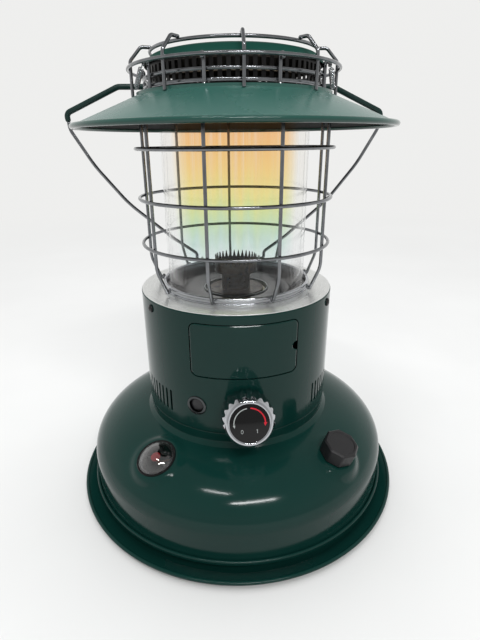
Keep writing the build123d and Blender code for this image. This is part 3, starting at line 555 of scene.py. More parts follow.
class Nodes:
    """The node tree of a material or a world, built in few words."""

    def __init__(self, owner: bpy.types.Material | bpy.types.World) -> None:
        """Empties an owner's tree.

        Args:
            owner: the material or world.
        """
        owner.use_nodes = True
        self.owner = owner
        self.tree = owner.node_tree
        self.tree.nodes.clear()

    def add(self, kind: str, settings: dict | None = None, **inputs: object) -> bpy.types.Node:
        """Adds a node.

        Args:
            kind: the node's type, without its ShaderNode.
            settings: properties of the node itself.
            inputs: values or sockets, by the input's name with underscores for spaces, or i and its index.

        Returns:
            The node.
        """
        node = self.tree.nodes.new("ShaderNode" + kind)
        for key, value in (settings or {}).items():
            setattr(node, key, value)
        for key, value in inputs.items():
            place = int(key[1:]) if key[0] == "i" and key[1:].isdigit() else key.replace("_", " ")
            socket = node.inputs[place]
            if isinstance(value, bpy.types.NodeSocket):
                self.tree.links.new(value, socket)
            else:
                socket.default_value = value
        return node

    def place(self) -> bpy.types.NodeSocket:
        """The object's own coordinates."""
        return self.add("TexCoord").outputs["Object"]

    def parts(self, vector: object) -> bpy.types.bpy_prop_collection:
        """A vector's X, Y and Z."""
        return self.add("SeparateXYZ", None, Vector=vector).outputs

    def length(self, vector: object) -> bpy.types.NodeSocket:
        """A vector's length."""
        return self.add("VectorMath", {"operation": "LENGTH"}, i0=vector).outputs["Value"]

    def maths(self, operation: str, first: object, second: object = 0.0) -> bpy.types.NodeSocket:
        """One sum on two values."""
        return self.add("Math", {"operation": operation}, i0=first, i1=second).outputs[0]

    def span(self, value: object, low: float, high: float, start: float, end: float) -> bpy.types.NodeSocket:
        """Carries a value from one range to another, and holds it there.

        Args:
            value: the value.
            low: where its range starts.
            high: where its range ends.
            start: the result at the low end.
            end: the result at the high end.

        Returns:
            The result.
        """
        node = self.add("MapRange", None, Value=value, From_Min=low, From_Max=high, To_Min=start, To_Max=end)
        return node.outputs["Result"]

    def noise(self, vector: object, scale: float, detail: float = 2.0) -> bpy.types.NodeSocket:
        """Noise at a scale per metre."""
        return self.add("TexNoise", None, Vector=vector, Scale=scale, Detail=detail).outputs["Fac"]

    def round_about(self, turns: float, along: float, across: float) -> bpy.types.NodeSocket:
        """Coordinates that run round the heater's axis, up it and out from it.

        Args:
            turns: stretch of the way round, per radian.
            along: stretch of the way up, per metre.
            across: stretch of the way out, per metre.

        Returns:
            The coordinates.
        """
        parts = self.parts(self.place())
        angle = self.maths("ARCTAN2", parts["Y"], parts["X"])
        radius = self.length(self.add("CombineXYZ", None, X=parts["X"], Y=parts["Y"]).outputs[0])
        return self.add(
            "CombineXYZ",
            None,
            X=self.maths("MULTIPLY", angle, turns),
            Y=self.maths("MULTIPLY", parts["Z"], along),
            Z=self.maths("MULTIPLY", radius, across),
        ).outputs[0]

    def ramp(self, value: object, stops: Sequence[tuple[float, Colour]]) -> bpy.types.NodeSocket:
        """Colours along a value.

        Args:
            value: the value, from 0 to 1.
            stops: where each colour lies, in order.

        Returns:
            The colour.
        """
        node = self.add("ValToRGB", None, Fac=value)
        marks = node.color_ramp.elements
        for position, colour in stops[2:]:
            marks.new(position).color = colour
        marks[0].position = stops[0][0]
        marks[-1].position = 1.0
        for mark, (position, colour) in zip(marks, stops):
            mark.position = position
            mark.color = colour
        return node.outputs["Color"]

    def mixed(self, share: object, first: object, second: object) -> bpy.types.NodeSocket:
        """Two colours mixed."""
        return self.add("Mix", {"data_type": "RGBA"}, i0=share, i6=first, i7=second).outputs[2]

    def bump(self, height: object, strength: float, distance: float) -> bpy.types.NodeSocket:
        """A bump from a height, with its distance in metres."""
        return self.add("Bump", None, Height=height, Strength=strength, Distance=distance).outputs[0]

    def facing(self) -> bpy.types.NodeSocket:
        """How far a surface turns away from the eye, from 0 to 1."""
        return self.add("LayerWeight", None, Blend=0.5).outputs["Facing"]

    def clear_gloss(self, tint: object, roughness: float, shine: Point) -> bpy.types.NodeSocket:
        """A clear skin: what is behind it, tinted, under a gloss that grows towards its edges.

        Args:
            tint: colour of what is seen through it.
            roughness: roughness of the gloss.
            shine: share of what it mirrors where it is faced squarely, and at its edges.

        Returns:
            The shader.
        """
        clear = self.add("BsdfTransparent", None, Color=tint).outputs[0]
        gloss = self.add("BsdfGlossy", None, Color=WHITE, Roughness=roughness).outputs[0]
        share = self.span(self.maths("POWER", self.facing(), EDGE_POWER), 0.0, 1.0, *shine)
        return self.add("MixShader", None, i0=share, i1=clear, i2=gloss).outputs[0]

    def principled(self, **inputs: object) -> bpy.types.Material:
        """Ends the tree in a principled shader, with the inputs that are given."""
        return self.surface(self.add("BsdfPrincipled", None, **inputs).outputs[0])

    def surface(self, shader: bpy.types.NodeSocket) -> bpy.types.Material:
        """Ends the tree in a shader."""
        self.add("OutputMaterial", None, Surface=shader)
        return self.owner


@dataclass(frozen=True)
class Finish:
    """A plain finish with a little life in its colour, gloss and surface."""

    slot: str
    name: str
    colour: Colour
    metallic: float = 0.0
    roughness: float = 0.4
    uneven: float = 0.08        # how much the roughness wanders
    shade: float = 0.15         # how much darker the colour gets in patches
    patch: float = 60.0         # size of the patches, per metre
    grain: float = 900.0        # size of the surface's grain, per metre
    relief: float = 0.05        # strength of the grain
    specular: float = 0.5
    depth: float = 0.0004       # metres: depth of the grain

    def wandering(self, nodes: Nodes, value: object) -> bpy.types.NodeSocket:
        """The roughness, wandering with a noise."""
        low = max(self.roughness - self.uneven, SMOOTHEST)
        return nodes.span(value, *NOISE, low, self.roughness + self.uneven)

    def grained(self, nodes: Nodes, place: object, detail: float = 1.0) -> bpy.types.NodeSocket:
        """The bump of the surface's grain."""
        return nodes.bump(nodes.noise(place, self.grain, detail), self.relief, self.depth)

    def material(self) -> bpy.types.Material:
        """Builds the finish's material.

        Returns:
            The material.
        """
        nodes = Nodes(bpy.data.materials.new(self.name))
        place = nodes.place()
        patches = nodes.noise(place, self.patch, detail=4.0)
        dark, light = scaled(self.colour, 1 - self.shade), scaled(self.colour, 1 + self.shade)
        return nodes.principled(
            Base_Color=nodes.mixed(nodes.span(patches, *NOISE, 0.0, 1.0), dark, light),
            Metallic=self.metallic,
            Roughness=self.wandering(nodes, patches),
            Specular_IOR_Level=self.specular,
            Normal=self.grained(nodes, place),
        )


@dataclass(frozen=True)
class UndersideShadedEnamel(Finish):
    """Enamel on a piece that is open to the flame, with its downward-facing faces painted near black and
    rough: painted shade on its underside.
    """

    # painted shade: the near-black colour given to faces that face down
    painted_shade: Colour = (0.004, 0.004, 0.004, 1.0)
    painted_shade_roughness: float = 0.8
    under: Point = (-0.3, -0.1)         # z of a face's normal, where the painted shade is whole and where it ends

    def material(self) -> bpy.types.Material:
        """Builds the finish's material.

        Returns:
            The material.
        """
        nodes = Nodes(bpy.data.materials.new(self.name))
        place = nodes.place()
        patches = nodes.noise(place, self.patch, detail=4.0)
        normal = nodes.add("TexCoord").outputs["Normal"]
        # faces that face down take the painted shade, faded in by their normal's z
        under = nodes.span(nodes.parts(normal)["Z"], *self.under, 1.0, 0.0)
        light = scaled(self.colour, 1 + self.shade)
        enamel = nodes.mixed(nodes.span(patches, *NOISE, 0.0, 1.0), self.colour, light)
        underside_roughness = nodes.maths("MULTIPLY", under, self.painted_shade_roughness)
        return nodes.principled(
            Base_Color=nodes.mixed(under, enamel, self.painted_shade),
            Roughness=nodes.maths("MAXIMUM", self.wandering(nodes, patches), underside_roughness),
            Specular_IOR_Level=self.specular,
            Normal=self.grained(nodes, place),
        )


@dataclass(frozen=True)
class SpunSteel(Finish):
    """Sheet steel with faint turning marks round the heater's axis."""

    marks: float = 2600.0       # marks per metre, across the sheet
    turns: float = 6.0          # how the marks break up on their way round, per radian
    flatness: float = 0.6       # share of the marks on an upright wall
    depth: float = 0.0002
    patch_range: Point = (0.35, 0.7)    # the noise's values between its two shades

    def material(self) -> bpy.types.Material:
        """Builds the finish's material.

        Returns:
            The material.
        """
        nodes = Nodes(bpy.data.materials.new(self.name))
        round_about = nodes.round_about(self.turns, self.marks * self.flatness, self.marks)
        turned = nodes.noise(round_about, 1.0, detail=3.0)
        patches = nodes.noise(nodes.place(), self.patch, detail=3.0)
        share = nodes.span(patches, *self.patch_range, 0.0, 1.0)
        return nodes.principled(
            Base_Color=nodes.mixed(share, scaled(self.colour, 1 - self.shade), self.colour),
            Metallic=self.metallic,
            Roughness=self.wandering(nodes, turned),
            Normal=nodes.bump(turned, self.relief, self.depth),
        )


@dataclass(frozen=True)
class HeatTinted(Finish):
    """Steel near the flame, with straw, brown and blue oxide in patches."""

    start: float = 0.30         # the noise's value where its own colour lies
    oxides: tuple[tuple[float, Colour], ...] = (
        (0.45, srgb(88, 80, 70)),
        (0.56, srgb(76, 60, 50)),
        (0.70, srgb(48, 50, 62)),
    )
    depth: float = 0.0003

    def material(self) -> bpy.types.Material:
        """Builds the finish's material.

        Returns:
            The material.
        """
        nodes = Nodes(bpy.data.materials.new(self.name))
        place = nodes.place()
        patches = nodes.noise(place, self.patch, detail=5.0)
        return nodes.principled(
            Base_Color=nodes.ramp(patches, [(self.start, self.colour), *self.oxides]),
            Metallic=self.metallic,
            Roughness=self.wandering(nodes, patches),
            Normal=self.grained(nodes, place, 2.0),
        )


@dataclass(frozen=True)
class Woven(Finish):
    """Cloth woven round the heater's axis, as a wick's is."""

    threads: float = 132.0      # threads round the wick, per radian
    pitch: float = 0.0016       # metres from thread to thread up it
    hollow: float = 0.55        # brightness between the threads: painted shade in the weave's hollows

    def material(self) -> bpy.types.Material:
        """Builds the finish's material.

        Returns:
            The material.
        """
        nodes = Nodes(bpy.data.materials.new(self.name))
        parts = nodes.parts(nodes.place())
        angle = nodes.maths("ARCTAN2", parts["Y"], parts["X"])
        warp = nodes.maths("SINE", nodes.maths("MULTIPLY", angle, self.threads))
        weft = nodes.maths("SINE", nodes.maths("MULTIPLY", parts["Z"], math.tau / self.pitch))
        weave = nodes.maths("MULTIPLY", warp, weft)
        raised = nodes.span(weave, -1.0, 1.0, 0.0, 1.0)
        return nodes.principled(
            # the hollows between the threads are darkened: painted shade
            Base_Color=nodes.mixed(raised, scaled(self.colour, self.hollow), self.colour),
            Roughness=self.roughness,
            Normal=nodes.bump(weave, self.relief, self.depth),
        )


@dataclass(frozen=True)
class ClearMoulding:
    """A clear moulding or bare glass: it shows what is behind it, under a gloss."""

    slot: str
    name: str
    tint: Colour
    roughness: float = 0.02
    shine: Point = (0.035, 0.9)         # share of what it mirrors, faced squarely and at its edges

    def material(self) -> bpy.types.Material:
        """Builds the finish's material.

        Returns:
            The material.
        """
        nodes = Nodes(bpy.data.materials.new(self.name))
        return nodes.surface(nodes.clear_gloss(self.tint, self.roughness, self.shine))


@dataclass(frozen=True)
class FilmGlass(ClearMoulding):
    """Glass whose baked film shows colours that change with height and fade to the tint at its sides."""

    low: float = 0.250                  # metres: where the film starts
    high: float = 0.428
    faces: int = 4                      # surfaces that a look through the chimney crosses
    waver: float = 0.12                 # how far a streak shifts the colours, as a share of the height
    streaks: Place = (9.0, 4.0, 0.0)    # stretch of the wavering streaks, round, up and out
    brushed: Place = (34.0, 7.0, 0.0)   # stretch of the fine pale ones
    brushed_share: Point = (0.48, 0.66)
    pale: Colour = srgb(252, 232, 218)
    pale_rise: Span = (0.320, 0.408, 0.0, 0.85)     # heights, and how strong the fine streaks are there
    side_fade: Span = (0.24, 0.50, 0.0, 0.94)       # turn from the eye, and how far the film has faded
    bands: tuple[tuple[float, Colour], ...] = (
        (0.00, srgb(255, 255, 255)),
        (0.10, srgb(242, 248, 250)),
        (0.19, srgb(208, 228, 232)),
        (0.29, srgb(200, 232, 212)),
        (0.39, srgb(218, 236, 176)),
        (0.50, srgb(246, 236, 158)),
        (0.66, srgb(255, 218, 144)),
        (0.82, srgb(255, 202, 138)),
        (1.00, srgb(255, 196, 142)),
    )

    def one_face(self, colour: Colour) -> Colour:
        """The tint of one surface, where all of them together show a colour."""
        return tuple(part ** (1 / self.faces) for part in colour[:3]) + (1.0,)

    def material(self) -> bpy.types.Material:
        """Builds the finish's material.

        Returns:
            The material.
        """
        nodes = Nodes(bpy.data.materials.new(self.name))
        up = nodes.parts(nodes.place())["Z"]
        streaks = nodes.noise(nodes.round_about(*self.streaks), 1.0, detail=4.0)
        fine = nodes.noise(nodes.round_about(*self.brushed), 1.0, detail=2.0)
        wavering = nodes.span(streaks, 0, 1, -self.waver, self.waver)
        height = nodes.maths("ADD", nodes.span(up, self.low, self.high, 0.0, 1.0), wavering)
        film = nodes.ramp(height, [(at, self.one_face(colour)) for at, colour in self.bands])
        brushed = nodes.span(fine, *self.brushed_share, 0.0, 1.0)
        share = nodes.maths("MULTIPLY", brushed, nodes.span(up, *self.pale_rise))
        film = nodes.mixed(share, film, self.one_face(self.pale))
        film = nodes.mixed(nodes.span(nodes.facing(), *self.side_fade), film, self.tint)
        return nodes.surface(nodes.clear_gloss(film, self.roughness, self.shine))


GREEN = Finish(
    "green_enamel", "green enamel", srgb(14, 51, 46), roughness=0.12, uneven=0.03, shade=0.05, patch=18,
    grain=420, relief=0.008, specular=0.22,
)
# painted light: a lighter copy of the green enamel for the shade's brightly lit top; its underside takes
# painted shade
LIT_SHADE_GREEN = UndersideShadedEnamel(
    "green_enamel", "shade enamel", srgb(52, 98, 89), roughness=0.27, uneven=0.03, shade=0.05, patch=18,
    grain=420, relief=0.008, specular=0.45,
)
# painted light: a lighter copy of the green enamel for the shade's rolled rim, matching the lit shade
LIT_RIM_GREEN = Finish(
    "green_enamel", "rim enamel", srgb(30, 78, 69), roughness=0.09, uneven=0.02, shade=0.05, patch=18,
    relief=0.0,
)
# painted light: a lighter copy of the green enamel for the cap's lit top; its underside takes painted shade
LIT_CAP_GREEN = UndersideShadedEnamel(
    "green_enamel", "cap enamel", srgb(24, 70, 60), roughness=0.5, uneven=0.03, shade=0.05, patch=18,
    grain=420, relief=0.008, specular=0.04,
)
GREEN_COATING = Finish("green_coating", "green coating", srgb(18, 46, 42), roughness=0.30, specular=0.3)
BRIGHT_WIRE = Finish(
    "chromed_wire", "bright wire", srgb(126, 128, 131), metallic=1.0, roughness=0.16, uneven=0.04,
    shade=0.18, patch=90, relief=0.03,
)
CHROME = Finish(
    "chromed_wire", "chrome plate", srgb(184, 186, 190), metallic=1.0, roughness=0.05, uneven=0.02,
    shade=0.04, relief=0.01,
)
SATIN = SpunSteel(
    "satin_steel", "satin steel", srgb(232, 233, 231), metallic=0.8, roughness=0.30, uneven=0.04,
    shade=0.03, relief=0.03,
)
# painted reflection: the bowl's steel is darkened to near black to stand in for the dark it mirrors inside
# the glass
BOWL_STEEL_PAINTED_DARK = SpunSteel(
    "zinc_steel", "burner bowl steel", srgb(50, 46, 45), metallic=1.0, roughness=0.10, uneven=0.03,
    shade=0.3, relief=0.03,
)
DARK_CHROME = Finish(
    "satin_steel", "dark chrome", srgb(74, 77, 78), metallic=1.0, roughness=0.16, relief=0.01,
)
ZINC = Finish(
    "zinc_steel", "zinc plate", srgb(158, 160, 160), metallic=1.0, roughness=0.36, shade=0.14, patch=220,
)
BURNT = HeatTinted(
    "burner_steel", "burner steel", srgb(58, 55, 58), metallic=1.0, roughness=0.34, patch=120,
)
SPRING = Finish("spring_steel", "spring steel", srgb(150, 150, 152), metallic=1.0, roughness=0.25)
BLACK_GLOSS = Finish(
    "black_plastic", "black gloss resin", srgb(10, 10, 11), roughness=0.08, uneven=0.02, relief=0.01,
    specular=0.3,
)
BLACK_SATIN = Finish(
    "black_plastic", "black grained resin", srgb(28, 27, 29), roughness=0.42, grain=1500, relief=0.12,
)
BLACK_STEEL = Finish("black_steel", "black lacquer", srgb(18, 17, 17), shade=0.25, specular=0.3)
RUBBER = Finish("black_rubber", "black rubber", srgb(30, 30, 30), roughness=0.75, relief=0.10)
CORK = Finish("cork", "cork", srgb(96, 70, 48), roughness=0.8, shade=0.35, patch=500, relief=0.4)
RED = Finish("red_plastic", "red resin", srgb(150, 12, 22), roughness=0.28)
RED_PRINT = Finish("red_plastic", "red print", srgb(206, 22, 44), roughness=0.35, relief=0.0)
WHITE_PRINT = Finish("satin_steel", "white print", srgb(176, 182, 180), roughness=0.45, relief=0.0)
WRAP = Finish("battery_wrap", "dry cell wrap", srgb(60, 64, 70), roughness=0.3, relief=0.02)
WICK_CLOTH = Woven("wick_glass_cloth", "wick cloth", srgb(206, 198, 180), roughness=0.95, relief=0.5)
LENS = ClearMoulding("clear_plastic", "clear lens", (0.9, 0.9, 0.9, 1.0), shine=(0.10, 0.9))
FILM = FilmGlass("coated_glass", "film-coated glass", (0.99, 0.99, 0.99, 1.0), shine=(0.018, 0.9))


@cache
def dressed(finish: Finish | ClearMoulding) -> bpy.types.Material:
    """The material of a finish, built once."""
    return finish.material()


# ---------------------------------------------------------------- hand-over to the frame


def hand_over(piece: bpy.types.Object, body: str, finish: Finish | ClearMoulding, *nodes: str) -> None:
    """Gives a new piece its finish and its body, and hides the CAD nodes that it stands for.

    Args:
        piece: the new piece.
        body: the CAD body that it moves with.
        finish: what it is made of.
        nodes: CAD nodes that it replaces.
    """
    piece.data.materials.clear()
    piece.data.materials.append(dressed(finish))
    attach(piece, body)
    if nodes:
        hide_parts(*nodes)
    LOG.info("%s: %d faces, on %s", piece.name, len(piece.data.polygons), body)


def dress(frame: dict, finish: Finish | ClearMoulding, *nodes: str) -> None:
    """Gives carried-over CAD nodes a finish.

    Args:
        frame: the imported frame.
        finish: what the nodes are made of.
        nodes: their names.
    """
    for node in nodes:
        carried = frame["nodes"][node]
        if not carried.material_slots:
            carried.data.materials.append(None)
        for place in carried.material_slots:
            place.link = "OBJECT"
            place.material = dressed(finish)
        LOG.info("%s: as packed, in %s", node, finish.name)


# ---------------------------------------------------------------- where the fittings stand

STOP_BEARING = -27.5            # degrees from the knob
KNOB_LEAN = 75.0                # degrees from upright
STOP_SEAT = seat_matrix(front(STOP_BEARING, HOUSING_RADIUS, 143.0), leaning(STOP_BEARING, 90))
BUSH_SEAT = seat_matrix(front(0, HOUSING_RADIUS, 142.5), leaning(0, KNOB_LEAN))
KNOB_FACE = seat_matrix(front(0, 145.0, 153.0), leaning(0, KNOB_LEAN))
GAUGE_SEAT = seat_matrix(Vector((-92.47, -107.5, 90.1)), leaning(-40.7, 22))
FILLER_SEAT = seat_matrix(Vector((94.14, -114.2, 87.23)), leaning(39.5, 20))


# ---------------------------------------------------------------- the heater


class Assembly(Protocol):
    """A sub-assembly of the heater, which builds and dresses its own pieces."""

    def build(self, frame: dict) -> None:
        """Builds the sub-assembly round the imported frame."""


@dataclass
class DripTray:
    """The dished tray under the tank, with its rolled rim."""

    floor: Point = (152.0, 2.0)         # edge of the raised floor
    moat: Point = (156.0, 174.0)        # the ring that it stands on
    lip: Point = (191.0, 8.0)
    bends: Place = (2.0, 2.0, 14.0)
    rim: Point = (192.0, 8.0)
    rim_wire: float = 4.0

    def build(self, frame: dict) -> None:
        """Builds the tray and dresses it with its feet.

        Args:
            frame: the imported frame.
        """
        run = [(0, self.floor[1]), self.floor, (self.moat[0], 0), (self.moat[1], 0), self.lip]
        tray = Shaper()
        tray.lathe(sheet(rounded(run, self.bends, steps=8), -SHEET), FINER)
        tray.hoop(*self.rim, self.rim_wire, FINER, sides=20)
        hand_over(evened(tray.object("tray_pressing")), "stand", GREEN, "drip_tray")
        dress(frame, RUBBER, "tank_feet")


@dataclass
class Tank:
    """The fuel tank: a domed shell on a pan, with a seam round its foot and pressed seats."""

    seam: Point = (180.0, 17.6)
    bead: Point = (178.6, 18.6)
    bead_wire: float = 3.2
    wall_radius: float = 176.7
    foot_bend: float = 2.2
    dome: Point = (97.7, 49.6)
    dome_reach: Point = (79.0, 48.8)
    dome_sweep: float = 81.5
    collar_radius: float = 105.0
    collar_low: float = 102.0
    collar_top: float = 113.0
    well: Point = (96.0, 106.8)
    well_lip: float = 99.0
    wick_bore: float = 36.1
    deck_bends: tuple[float, ...] = (2.5, 1.4, 1.4, 1.4)
    seat_proud: float = 0.8
    seat_ease: float = 9.0              # how wide the metal is drawn round a seat
    seat_land: float = 5.0
    seat_reach: float = 14.0            # how deep below a seat the metal still follows it
    gauge_bore: float = 17.0
    filler_bore: float = 15.0
    drill: Point = (-9.0, 7.0)          # where the drill for a bore starts and ends
    skin: float = 0.4                   # share of the sheet that counts as its outer face

    def run(self) -> list[Vector]:
        """The shell's outer face.

        Returns:
            Its radii and heights, from its seam up and in to its deck.
        """
        dome = arc(self.dome, self.dome_reach, 0, self.dome_sweep, steps=44)
        foot = [self.seam, (self.wall_radius, self.seam[1]), tuple(dome[0])]
        walls = [dome[-1], (self.collar_radius, self.collar_low), (self.collar_radius, self.collar_top)]
        walls += [(self.well_lip, self.collar_top), self.well, (self.wick_bore, self.well[1])]
        turned_up = rounded(foot, self.foot_bend, steps=4)
        return turned_up[:-1] + dome[:-1] + rounded(walls, self.deck_bends, steps=5)

    def press_seat(self, shell: Shaper, place: Matrix, bore: float) -> None:
        """Draws the dome up into a flat seat.

        Args:
            shell: the tank's shell.
            place: the seat's own place on the dome.
            bore: radius of the hole in it.
        """
        back = place.inverted()
        flat = bore + self.seat_land
        for vert in shell.mesh.verts:
            local = back @ vert.co
            away = math.hypot(local.x, local.y)
            if away > flat + self.seat_ease or local.z < -self.seat_reach:
                continue
            depth = 0.0 if self.outer(vert.co) else -SHEET
            share = smooth((away - flat) / self.seat_ease)
            local.z = (self.seat_proud + depth) * (1 - share) + local.z * share
            vert.co = place @ local

    def outer(self, place: Vector) -> bool:
        """Whether a point of the dome is on its outer face.

        Args:
            place: the point.

        Returns:
            True on the outer face, False on the inner one.
        """
        across = (math.hypot(place.x, place.y) - self.dome[0]) / self.dome_reach[0]
        up = (place.z - self.dome[1]) / self.dome_reach[1]
        return math.hypot(across, up) > 1 - self.skin * SHEET / self.dome_reach[1]

    def build(self, frame: dict) -> None:
        """Builds the shell, presses and pierces its seats, and dresses it with its pan.

        Args:
            frame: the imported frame.
        """
        seats = ((GAUGE_SEAT, self.gauge_bore), (FILLER_SEAT, self.filler_bore))
        shell, holes = Shaper(), Shaper()
        shell.lathe(sheet(self.run(), -SHEET), FINER)
        for place, bore in seats:
            self.press_seat(shell, place, bore)
            holes.drum(place, [(bore, reach) for reach in self.drill], sides=64)
        pressing = shell.object("tank_pressing")
        cut(pressing, holes.object("holes"))
        hand_over(evened(pressing), "stand", GREEN, "tank_shell")
        seam = Shaper()
        seam.hoop(*self.bead, self.bead_wire, FINER, sides=16)
        hand_over(seam.object("tank_seam"), "stand", GREEN)
        dress(frame, GREEN, "tank_pan")


@dataclass
class Housing:
    """The round housing over the tank: its wall, top plate, glass seat and screws."""

    low: float = 113.0
    high: float = 243.8
    lip: float = 99.0
    bend: float = 1.2
    steps: int = 384
    opening: Point = (53.6, 7.0)        # half width and corner of the doorway
    doorway: Point = (176.5, 234.5)
    vents: int = 8                      # on each side
    vent_first: float = 46.0
    vent_pitch: float = 3.8
    vent_slot: Point = (1.5, 12.5)      # half width and half height
    vent_z: float = 138.0
    stop_bore: float = 8.65
    bush_bore: float = 6.0
    screw_z: float = 235.3
    screw_bearings: Place = (60.0, 180.0, 300.0)
    screw: tuple[Point, ...] = ((4.2, 0.1), (4.2, 0.7), (3.906, 1.3), (3.024, 1.8), (1.68, 2.2))
    cross: Point = (2.2, 0.45)          # reach and half width of a screw's cross
    cross_depth: float = 1.1
    plate: Point = (105.0, 75.7)        # outer and inner radius of the top plate
    plate_top: float = 244.6
    plate_bends: Point = (0.6, 1.2)
    plate_lip: float = 5.6
    ring: Point = (79.7, 250.4)         # the glass seat's wall radius and top
    ring_wire: float = 3.4
    ring_foot: float = 1.6              # the bead where the ring meets the plate

    def openings(self) -> bpy.types.Object:
        """The doorway, the vents and the holes of the knob's bush and the stop button.

        Returns:
            One tool that cuts them all.
        """
        tool = Shaper()
        half_width, corner = self.opening
        door = round_box(half_width, *self.doorway, corner)
        tool.prism(drawn_in_front(), door, start=70, end=125)
        half, tall = self.vent_slot
        above = arc((0, tall - half), (half, half), 0, 180, steps=8)
        below = arc((0, half - tall), (half, half), 180, 180, steps=8)
        slot = [point + Vector((0, self.vent_z)) for point in above + below]
        for side in Side:
            for index in range(self.vents):
                bearing = side.value * (self.vent_first + index * self.vent_pitch)
                tool.prism(drawn_in_front(bearing), slot, start=100, end=110)
        tool.drum(STOP_SEAT, [(self.stop_bore, -6), (self.stop_bore, 6)])
        tool.drum(BUSH_SEAT, [(self.bush_bore, -9), (self.bush_bore, 9)])
        return tool.object("openings")

    def screws(self) -> bpy.types.Object:
        """The screws' domed heads, with a cross in each.

        Returns:
            All the heads as one object.
        """
        heads, crosses = Shaper(), Shaper()
        top = self.screw[-1][1]
        reach, half = self.cross
        arm = [(reach, -half), (reach, half), (half, half)]
        cross = [Matrix.Rotation(turn * math.pi / 2, 2) @ Vector(point) for turn in range(4) for point in arm]
        for bearing in self.screw_bearings:
            place = seat_matrix(front(bearing, HOUSING_RADIUS, self.screw_z), leaning(bearing, 90))
            heads.drum(place, self.screw, sides=40)
            crosses.prism(place, cross, top - self.cross_depth, top + 1)
        made = heads.object("screw_heads", crease=50)
        cut(made, crosses.object("crosses"))
        return made

    def wall(self) -> bpy.types.Object:
        """The round wall.

        Returns:
            The wall, with its openings cut.
        """
        wall = Shaper()
        outer, low, high = HOUSING_RADIUS, self.low, self.high
        run = [(self.lip, low), (outer, low), (outer, high), (self.lip, high)]
        wall.lathe(sheet(rounded(run, self.bend, steps=5), -SHEET), self.steps)
        sleeve = wall.object("housing_wall")
        cut(sleeve, self.openings())
        true_round(sleeve)
        return sleeve

    def build(self, frame: dict) -> None:
        """Builds the wall, plate, seat ring and screws, and dresses them.

        Args:
            frame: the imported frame.
        """
        hand_over(self.wall(), "stand", GREEN, "housing")
        plate = Shaper()
        outer, inner = self.plate
        top = self.plate_top
        run = [(outer, top - SHEET), (outer, top), (inner, top), (inner, top - self.plate_lip)]
        plate.lathe(sheet(rounded(run, self.plate_bends, steps=5), -SHEET))
        hand_over(evened(plate.object("burner_plate")), "stand", SATIN, "top_plate")
        seat = Shaper()
        half, bead = SHEET / 2, self.ring_foot
        radius, high = self.ring
        seat.lathe([(radius - half, top), (radius + half, top), (radius + half, high), (radius - half, high)])
        seat.hoop(radius, high, self.ring_wire, sides=18)
        seat.hoop(radius + bead / 2, top + bead / 2, bead, sides=12)
        hand_over(evened(seat.object("glass_seat")), "stand", CHROME, "seat_ring")
        hand_over(self.screws(), "stand", BLACK_STEEL, "housing_screws")
        dress(frame, ZINC, "knob_bush", "door_hinge_pin", "tip_bracket")
        dress(frame, BURNT, "tip_weight")


@dataclass
class Door:
    """The lighting door, rolled to the housing, with a finger notch in its right edge."""

    outer: float = 106.3
    sheet: float = 1.0
    half_width: float = 52.6
    low: float = 177.5
    high: float = 233.5
    corner: float = 6.0
    notch: float = 4.6
    strips: int = 60
    edge: float = 0.8                   # width of the rounded edge
    drop: float = 0.56                  # how far it falls

    def outline(self) -> list[Vector]:
        """The door's flat outline.

        Returns:
            The outline, notch and all.
        """
        middle = (self.low + self.high) / 2
        wide, notch = self.half_width, self.notch
        lower = rounded([(0, self.low), (wide, self.low), (wide, middle - notch)], self.corner, steps=8)
        bite = arc((wide, middle), (notch, notch), -90, -180, steps=18)
        upper = [(wide, middle + notch), (wide, self.high), (-wide, self.high)]
        upper += [(-wide, self.low), (0, self.low)]
        return lower + bite[1:-1] + rounded(upper, self.corner, steps=8)[:-1]

    def flat(self, mesh: bmesh.types.BMesh) -> None:
        """Lays the panel flat, in strips that can be rolled, with a band for its rounded edge.

        Args:
            mesh: an empty mesh.
        """
        verts = [mesh.verts.new((point[0], 0, point[1])) for point in self.outline()]
        edges = [mesh.edges.new(pair) for pair in pairwise(verts + verts[:1])]
        bmesh.ops.contextual_create(mesh, geom=edges)
        for index in range(1, self.strips):
            at = self.half_width * (2 * index / self.strips - 1)
            every = mesh.verts[:] + mesh.edges[:] + mesh.faces[:]
            bmesh.ops.bisect_plane(mesh, geom=every, dist=1e-5, plane_co=(at, 0, 0), plane_no=(1, 0, 0))
        bmesh.ops.inset_region(
            mesh, faces=mesh.faces[:], thickness=self.edge, use_even_offset=True, use_boundary=True
        )

    def build(self, frame: dict) -> None:
        """Rolls the panel, gives it a back and an edge, and dresses it with its arms.

        Args:
            frame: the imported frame.
        """
        panel = Shaper()
        mesh = panel.mesh
        self.flat(mesh)
        back = bmesh.ops.duplicate(mesh, geom=mesh.verts[:] + mesh.edges[:] + mesh.faces[:])["geom"]
        behind = {item for item in back if isinstance(item, bmesh.types.BMVert)}
        rims = [edge for edge in mesh.edges if edge.is_boundary]
        rim_verts = {vert for edge in rims for vert in edge.verts}
        for vert in mesh.verts:
            radius = self.outer - (self.sheet if vert in behind else 0)
            if vert in rim_verts and vert not in behind:
                radius -= self.drop
            vert.co.y = -math.sqrt(radius**2 - vert.co.x**2)
        bmesh.ops.bridge_loops(mesh, edges=rims)
        made = panel.object("door_skin")
        true_round(made)
        hand_over(made, "door", GREEN, "door_panel")
        dress(frame, ZINC, "door_arms")


